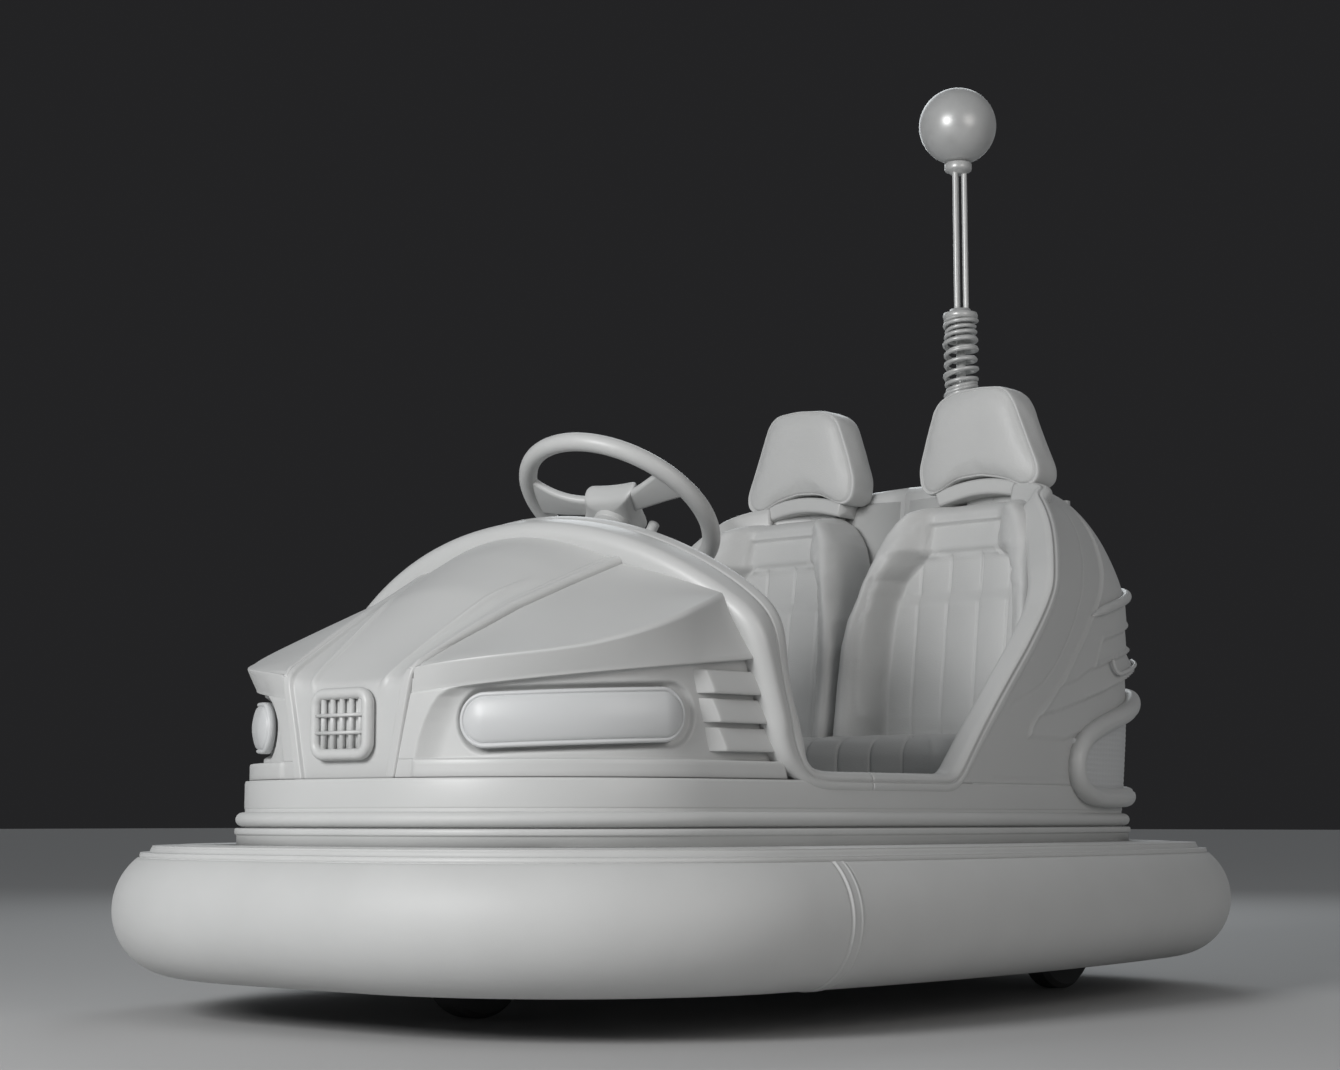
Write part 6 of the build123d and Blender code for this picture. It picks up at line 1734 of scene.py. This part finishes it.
# ---------------------------------------------------------------- steering wheel
@dataclass
class SteeringWheel:
    """Steering wheel with three flared spokes and a four-cornered pad, turned into its place."""

    centre: tuple[float, float, float] = (0.0, -237.0, 801.0)
    lean: float = 55.2
    ring_r: float = 162.0
    tube_r: float = 15.0
    spokes: tuple[tuple[float, float, float], ...] = ((141.0, 176.0, 150.0), (5.0, 29.0, 25.0), (254.0, 286.0, 270.0))

    def placed(self, local: np.ndarray) -> np.ndarray:
        """Carries points from the wheel's own plane, whose third axis points at the driver, into the car."""
        lean = math.radians(self.lean)
        axis = np.array([0.0, math.cos(lean), math.sin(lean)])
        ahead = np.array([0.0, -math.sin(lean), math.cos(lean)])
        across = np.array([1.0, 0.0, 0.0])
        return np.array(self.centre) + local[:, :1] * across + local[:, 1:2] * ahead + local[:, 2:] * axis

    def spoke(self, low: float, high: float, hub_turn: float) -> tuple[np.ndarray, np.ndarray]:
        """One spoke that widens towards the rim.

        Args:
            low: angle at the rim where it starts, in degrees.
            high: angle at the rim where it ends.
            hub_turn: angle at which it leaves the pad.

        Returns:
            Its points and faces in the wheel's own plane.
        """
        middle = math.radians((low + high) / 2)
        start = 30.0 * np.array([math.cos(math.radians(hub_turn)), math.sin(math.radians(hub_turn))])
        end = self.ring_r * np.array([math.cos(middle), math.sin(middle)])
        part = np.linspace(0.0, 1.0, 34)[:, None]
        bend = part * (1 - part) * 14.0
        flat = start + (end - start) * part + bend * np.array([-math.sin(middle), math.cos(middle)])
        dip = -7.0 * np.sin(part * math.pi) - 4.0 * (1 - part)
        path = np.c_[flat, dip]
        rim_wide = 2 * self.ring_r * math.sin(math.radians((high - low) / 2))
        wide = 38.0 + (rim_wide - 38.0) * part[:, 0] ** 2.2
        thick = 17.0 - 5.0 * part[:, 0]
        return rod(path, np.stack([rounded_box(w, t, 0.46 * t, 6) for w, t in zip(wide, thick)]))

    def pad(self) -> tuple[np.ndarray, np.ndarray]:
        """Pad with four drawn-out corners and hollow sides."""
        corners = np.array([(-34.0, 54.0), (74.0, 52.0), (27.0, -53.0), (-77.0, -5.0)])
        outline = []
        middle = corners.mean(axis=0)
        for low, high in zip(corners, np.roll(corners, -1, axis=0)):
            waist = (low + high) / 2 + (middle - (low + high) / 2) * 0.22
            part = np.linspace(0.0, 1.0, 30)[:-1, None]
            outline.append((1 - part) ** 2 * low + 2 * part * (1 - part) * waist + part**2 * high)
        outline = eased(np.concatenate(outline), 10, True) - middle
        table = [(0.05, 14.0), (0.3, 13.6), (0.55, 12.6), (0.75, 11.6), (0.86, 10.4), (0.93, 8.4), (0.975, 5.0),
                 (1.0, 0.0), (0.995, -6.0), (0.96, -14.0), (0.88, -22.0), (0.7, -28.0), (0.3, -30.0)]
        scale = np.array([row[0] for row in table])
        points = outline[None] * scale[:, None, None] + middle
        level = np.broadcast_to(np.array([row[1] for row in table])[:, None], points.shape[:2])
        return capped(np.concatenate([points, level[..., None]], axis=-1))

    def build(self) -> None:
        """Builds the wheel, which turns with the steering."""
        turn = np.linspace(0.0, 2.0 * math.pi, 121)[:-1]
        path = np.stack([np.cos(turn), np.sin(turn), 0.0 * turn], axis=-1) * self.ring_r
        ring = rod(path, circle(self.tube_r, 24), closed=True)
        post_at = np.array([[46.0, -44.0, z] for z in np.linspace(-34.0, -2.0, 8)])
        post = rod(post_at, circle(9.0, 18), REARWARD)
        hub_at = np.array([[0.0, 0.0, z] for z in np.linspace(-40.0, -18.0, 8)])
        hub = rod(hub_at, np.stack([circle(30.0 - 0.15 * k, 36) for k in range(8)]), REARWARD)
        points, faces = merged([ring, *(self.spoke(*angles) for angles in self.spokes), self.pad(), post, hub])
        piece = mesh_object("steering_wheel_rim", self.placed(points), faces)
        dress(piece, Finishes.TRIM, ("steering_wheel",), "steering_wheel")


# ---------------------------------------------------------------- contact mast
@dataclass
class Mast:
    """Contact mast: base cone, a loosely wound double spring, three rods, a collar and the ball."""

    y: float = 792.0
    spring_low: float = 1004.0
    spring_top: float = 1286.0
    ball_z: float = 1678.0
    ball_r: float = 77.0
    rod_r: float = 5.6
    rod_ring: float = 11.5
    rod_turns: tuple[float, ...] = (0.5, 2.6, 4.7)

    def turned(self, profile: list[tuple[float, float]], steps: int = 48) -> tuple[np.ndarray, np.ndarray]:
        """A round piece from its radius at each height, closed at both ends."""
        table = np.array(profile)
        path = np.c_[np.zeros(len(table)), np.full(len(table), self.y), table[:, 1]]
        side = np.broadcast_to([1.0, 0.0, 0.0], path.shape)
        rise = np.broadcast_to([0.0, 1.0, 0.0], path.shape)
        return sweep(path, side, rise, np.stack([circle(max(r, 0.05), steps) for r in table[:, 0]]))

    def spring(self) -> bpy.types.Object:
        """Two unevenly wound coils, laid by a geometry node tree along their height."""
        tree = Tree("wound_coil")
        start = tree.start.outputs["Geometry"]
        thick = tree.value("Wire radius", "Float")
        curve = tree.node("GeometryNodeMeshToCurve", Mesh=start)
        ring = tree.node("GeometryNodeCurvePrimitiveCircle", Resolution=8, Radius=thick)
        wire = tree.node("GeometryNodeCurveToMesh", Curve=curve.outputs[0], Profile_Curve=ring.outputs[0])
        wire.inputs["Fill Caps"].default_value = True
        tree.finish(wire.outputs[0])
        rng = np.random.default_rng(11)
        lines, edges = [], []
        for shift, turns, radius in ((0.0, 14.5, 30.5), (2.4, 12.5, 28.5)):
            share = np.linspace(0.0, 1.0, 760)
            wobble = sum(rng.uniform(0.1, 0.34) * np.sin(share * k * 2 * math.pi + rng.uniform(0, 6.28))
                         for k in (3, 5, 8, 13))
            turn = shift + share * turns * 2 * math.pi + 1.4 * wobble
            tilt = 3.2 * np.sin(turn + 3.0 * share) + 2.6 * np.sin(share * 41.0 + shift)
            rad = radius + 1.6 * np.sin(turn * 0.37 + shift)
            z = self.spring_low + (self.spring_top - self.spring_low) * share
            z = z + tilt * np.clip(8 * share * (1 - share), 0, 1)
            low = len(lines)
            lines += np.c_[rad * np.cos(turn), self.y + rad * np.sin(turn), z].tolist()
            edges += [(low + k, low + k + 1) for k in range(759)]
        mesh = bpy.data.meshes.new("mast_coils")
        mesh.from_pydata((np.array(lines) * MM).tolist(), edges, [])
        return tree.run("mast_coils", mesh, {"Wire radius": 0.0042, "Finish": Finishes.STEEL.value.material()})

    def build(self) -> None:
        """Builds the mast's pieces."""
        base = self.turned([(58.0, 866.0), (58.0, 872.0), (56.0, 880.0), (44.0, 894.0), (33.0, 915.0),
                            (27.0, 945.0), (25.0, 975.0), (25.0, 996.0), (33.0, 998.0), (34.0, 1001.0),
                            (34.0, 1006.0), (32.0, 1008.0), (8.0, 1010.0)])
        dress(mesh_object("mast_foot", *base), Finishes.TRIM, ("mast_base",))
        dress(self.spring(), Finishes.STEEL, ("mast_spring",))
        core = self.turned([(9.0, 1006.0), (9.0, 1284.0)])
        dress(mesh_object("mast_core", *core), Finishes.STEEL)
        cap = self.turned([(8.0, 1281.0), (31.0, 1282.0), (34.0, 1284.0), (34.5, 1290.0), (33.0, 1295.0),
                           (22.0, 1298.0), (20.0, 1303.0), (8.0, 1304.0)])
        rods = []
        for turn in self.rod_turns:
            x, y = self.rod_ring * math.cos(turn), self.y + self.rod_ring * math.sin(turn)
            path = np.array([[x, y, z] for z in np.linspace(1296.0, 1592.0, 24)])
            rods.append(rod(path, circle(self.rod_r, 18), REARWARD))
        collar = self.turned([(8.0, 1579.0), (16.0, 1580.0), (19.0, 1584.0), (26.0, 1586.0), (27.0, 1590.0),
                              (27.0, 1599.0), (25.0, 1602.0), (10.0, 1604.0)])
        piece = mesh_object("mast_rods_and_collar", *merged([cap, *rods, collar]))
        dress(piece, Finishes.STEEL, ("mast_rods",))
        angle = np.linspace(-1.23, math.pi / 2, 44)
        ball = self.turned([(self.ball_r * math.cos(a), self.ball_z + self.ball_r * math.sin(a)) for a in angle], 80)
        dress(mesh_object("contact_globe", *ball), Finishes.STEEL, ("contact_ball",))
# ---------------------------------------------------------------- studio
@dataclass
class Studio:
    """Camera, soft lights, floor and backdrop."""

    camera_at: tuple[float, float, float] = (2.551, -3.144, 0.295)
    camera_turn: float = 40.03
    camera_pitch: float = 6.81
    lens_mm: float = 63.93
    floor_grey: float = 0.5

    def camera(self) -> None:
        """Places the scene's camera."""
        data = bpy.data.cameras.new("camera")
        data.lens = self.lens_mm
        data.sensor_width = 36.0
        camera = bpy.data.objects.new("camera", data)
        camera.location = self.camera_at
        camera.rotation_euler = (math.radians(90.0 + self.camera_pitch), 0.0, math.radians(self.camera_turn))
        bpy.context.scene.collection.objects.link(camera)
        bpy.context.scene.camera = camera

    def lamp(self, name: str, place: tuple[float, float, float], size: float, power: float,
             colour: tuple[float, float, float]) -> None:
        """Adds a square soft lamp that looks at the car.

        Args:
            name: the lamp's name.
            place: where it hangs, in metres.
            size: length of its side.
            power: its power in watts.
            colour: its colour.
        """
        data = bpy.data.lights.new(name, "AREA")
        data.size = size
        data.energy = power
        data.color = colour
        lamp = bpy.data.objects.new(name, data)
        lamp.location = place
        aim = Vector((0.0, 0.0, 0.5)) - Vector(place)
        lamp.rotation_euler = aim.to_track_quat("-Z", "Y").to_euler()
        bpy.context.scene.collection.objects.link(lamp)

    def floor(self) -> None:
        """Lays the plain pale floor."""
        mesh = bpy.data.meshes.new("floor")
        reach = 60.0
        corners = [(-reach, -reach, 0.0), (reach, -reach, 0.0), (reach, reach, 0.0), (-reach, reach, 0.0)]
        mesh.from_pydata(corners, [], [(0, 1, 2, 3)])
        floor = bpy.data.objects.new("floor", mesh)
        bpy.context.scene.collection.objects.link(floor)
        made = bpy.data.materials.new("floor_finish")
        made.use_nodes = True
        shader = made.node_tree.nodes["Principled BSDF"]
        shader.inputs["Base Color"].default_value = (self.floor_grey,) * 3 + (1.0,)
        shader.inputs["Roughness"].default_value = 0.7
        mesh.materials.append(made)

    def world(self) -> None:
        """Even light from all round, with a darker backdrop for the eye."""
        world = bpy.data.worlds.new("studio")
        bpy.context.scene.world = world
        world.use_nodes = True
        nodes, links = world.node_tree.nodes, world.node_tree.links
        light = nodes["Background"]
        light.inputs["Color"].default_value = (0.94, 0.97, 1.0, 1.0)
        light.inputs["Strength"].default_value = 0.17
        seen = nodes.new("ShaderNodeBackground")
        seen.inputs["Color"].default_value = (0.017, 0.017, 0.018, 1.0)
        seen.inputs["Strength"].default_value = 1.0
        path = nodes.new("ShaderNodeLightPath")
        mix = nodes.new("ShaderNodeMixShader")
        links.new(path.outputs["Is Camera Ray"], mix.inputs["Fac"])
        links.new(light.outputs["Background"], mix.inputs[1])
        links.new(seen.outputs["Background"], mix.inputs[2])
        links.new(mix.outputs["Shader"], nodes["World Output"].inputs["Surface"])

    def build(self) -> None:
        """Sets up the whole studio."""
        self.camera()
        self.floor()
        self.world()
        self.lamp("key", (0.2, -4.8, 2.1), 1.6, 150.0, (1.0, 1.0, 1.0))
        self.lamp("side", (4.6, -1.2, 1.9), 2.2, 34.0, (1.0, 0.96, 0.93))
        self.lamp("back", (-2.5, 3.5, 3.2), 2.5, 45.0, (0.92, 0.97, 1.0))
        bpy.context.scene.view_settings.view_transform = "Standard"


NODE_FINISHES: dict[str, Finishes] = {
    "bumper_channel": Finishes.CHASSIS,
    "chassis_frame": Finishes.CHASSIS,
    "drive_fork": Finishes.CHASSIS,
    "rear_axle": Finishes.CHASSIS,
    "drive_motor": Finishes.MOTOR,
    "drive_hub": Finishes.MOTOR,
    "rear_hub_left": Finishes.MOTOR,
    "rear_hub_right": Finishes.MOTOR,
    "drive_tyre": Finishes.WHEEL,
    "rear_tyre_left": Finishes.WHEEL,
    "rear_tyre_right": Finishes.WHEEL,
    "deck_plate": Finishes.DECK,
    "base_skirt": Finishes.DECK,
    "base_bead": Finishes.BUMPER,
    "bumper_tyre": Finishes.BUMPER,
    "steering_column": Finishes.STEEL,
    "pedal": Finishes.STEEL,
    "mast_rods": Finishes.STEEL,
    "mast_spring": Finishes.STEEL,
    "contact_ball": Finishes.STEEL,
}


def dress_nodes(frame: dict) -> None:
    """Gives every CAD node its finish."""
    for name, node in frame["nodes"].items():
        finish = NODE_FINISHES.get(name, Finishes.SHELL)
        node.data.materials.clear()
        node.data.materials.append(finish.value.material())


def main() -> None:
    """Builds the car's pieces in order."""
    logging.basicConfig(level=logging.INFO, format="%(message)s")
    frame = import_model()
    Studio().build()
    dress_nodes(frame)
    Base().build()
    lamp = Headlamp()
    Cowl(lamp, Fender(lamp), Spine(), Grille()).build()
    Mouldings().build()
    RearShell().build()
    RearLamps().build()
    Bulkhead().build()
    Seat().build()
    SteeringWheel().build()
    Mast().build()


if __name__ == "__main__":
    main()
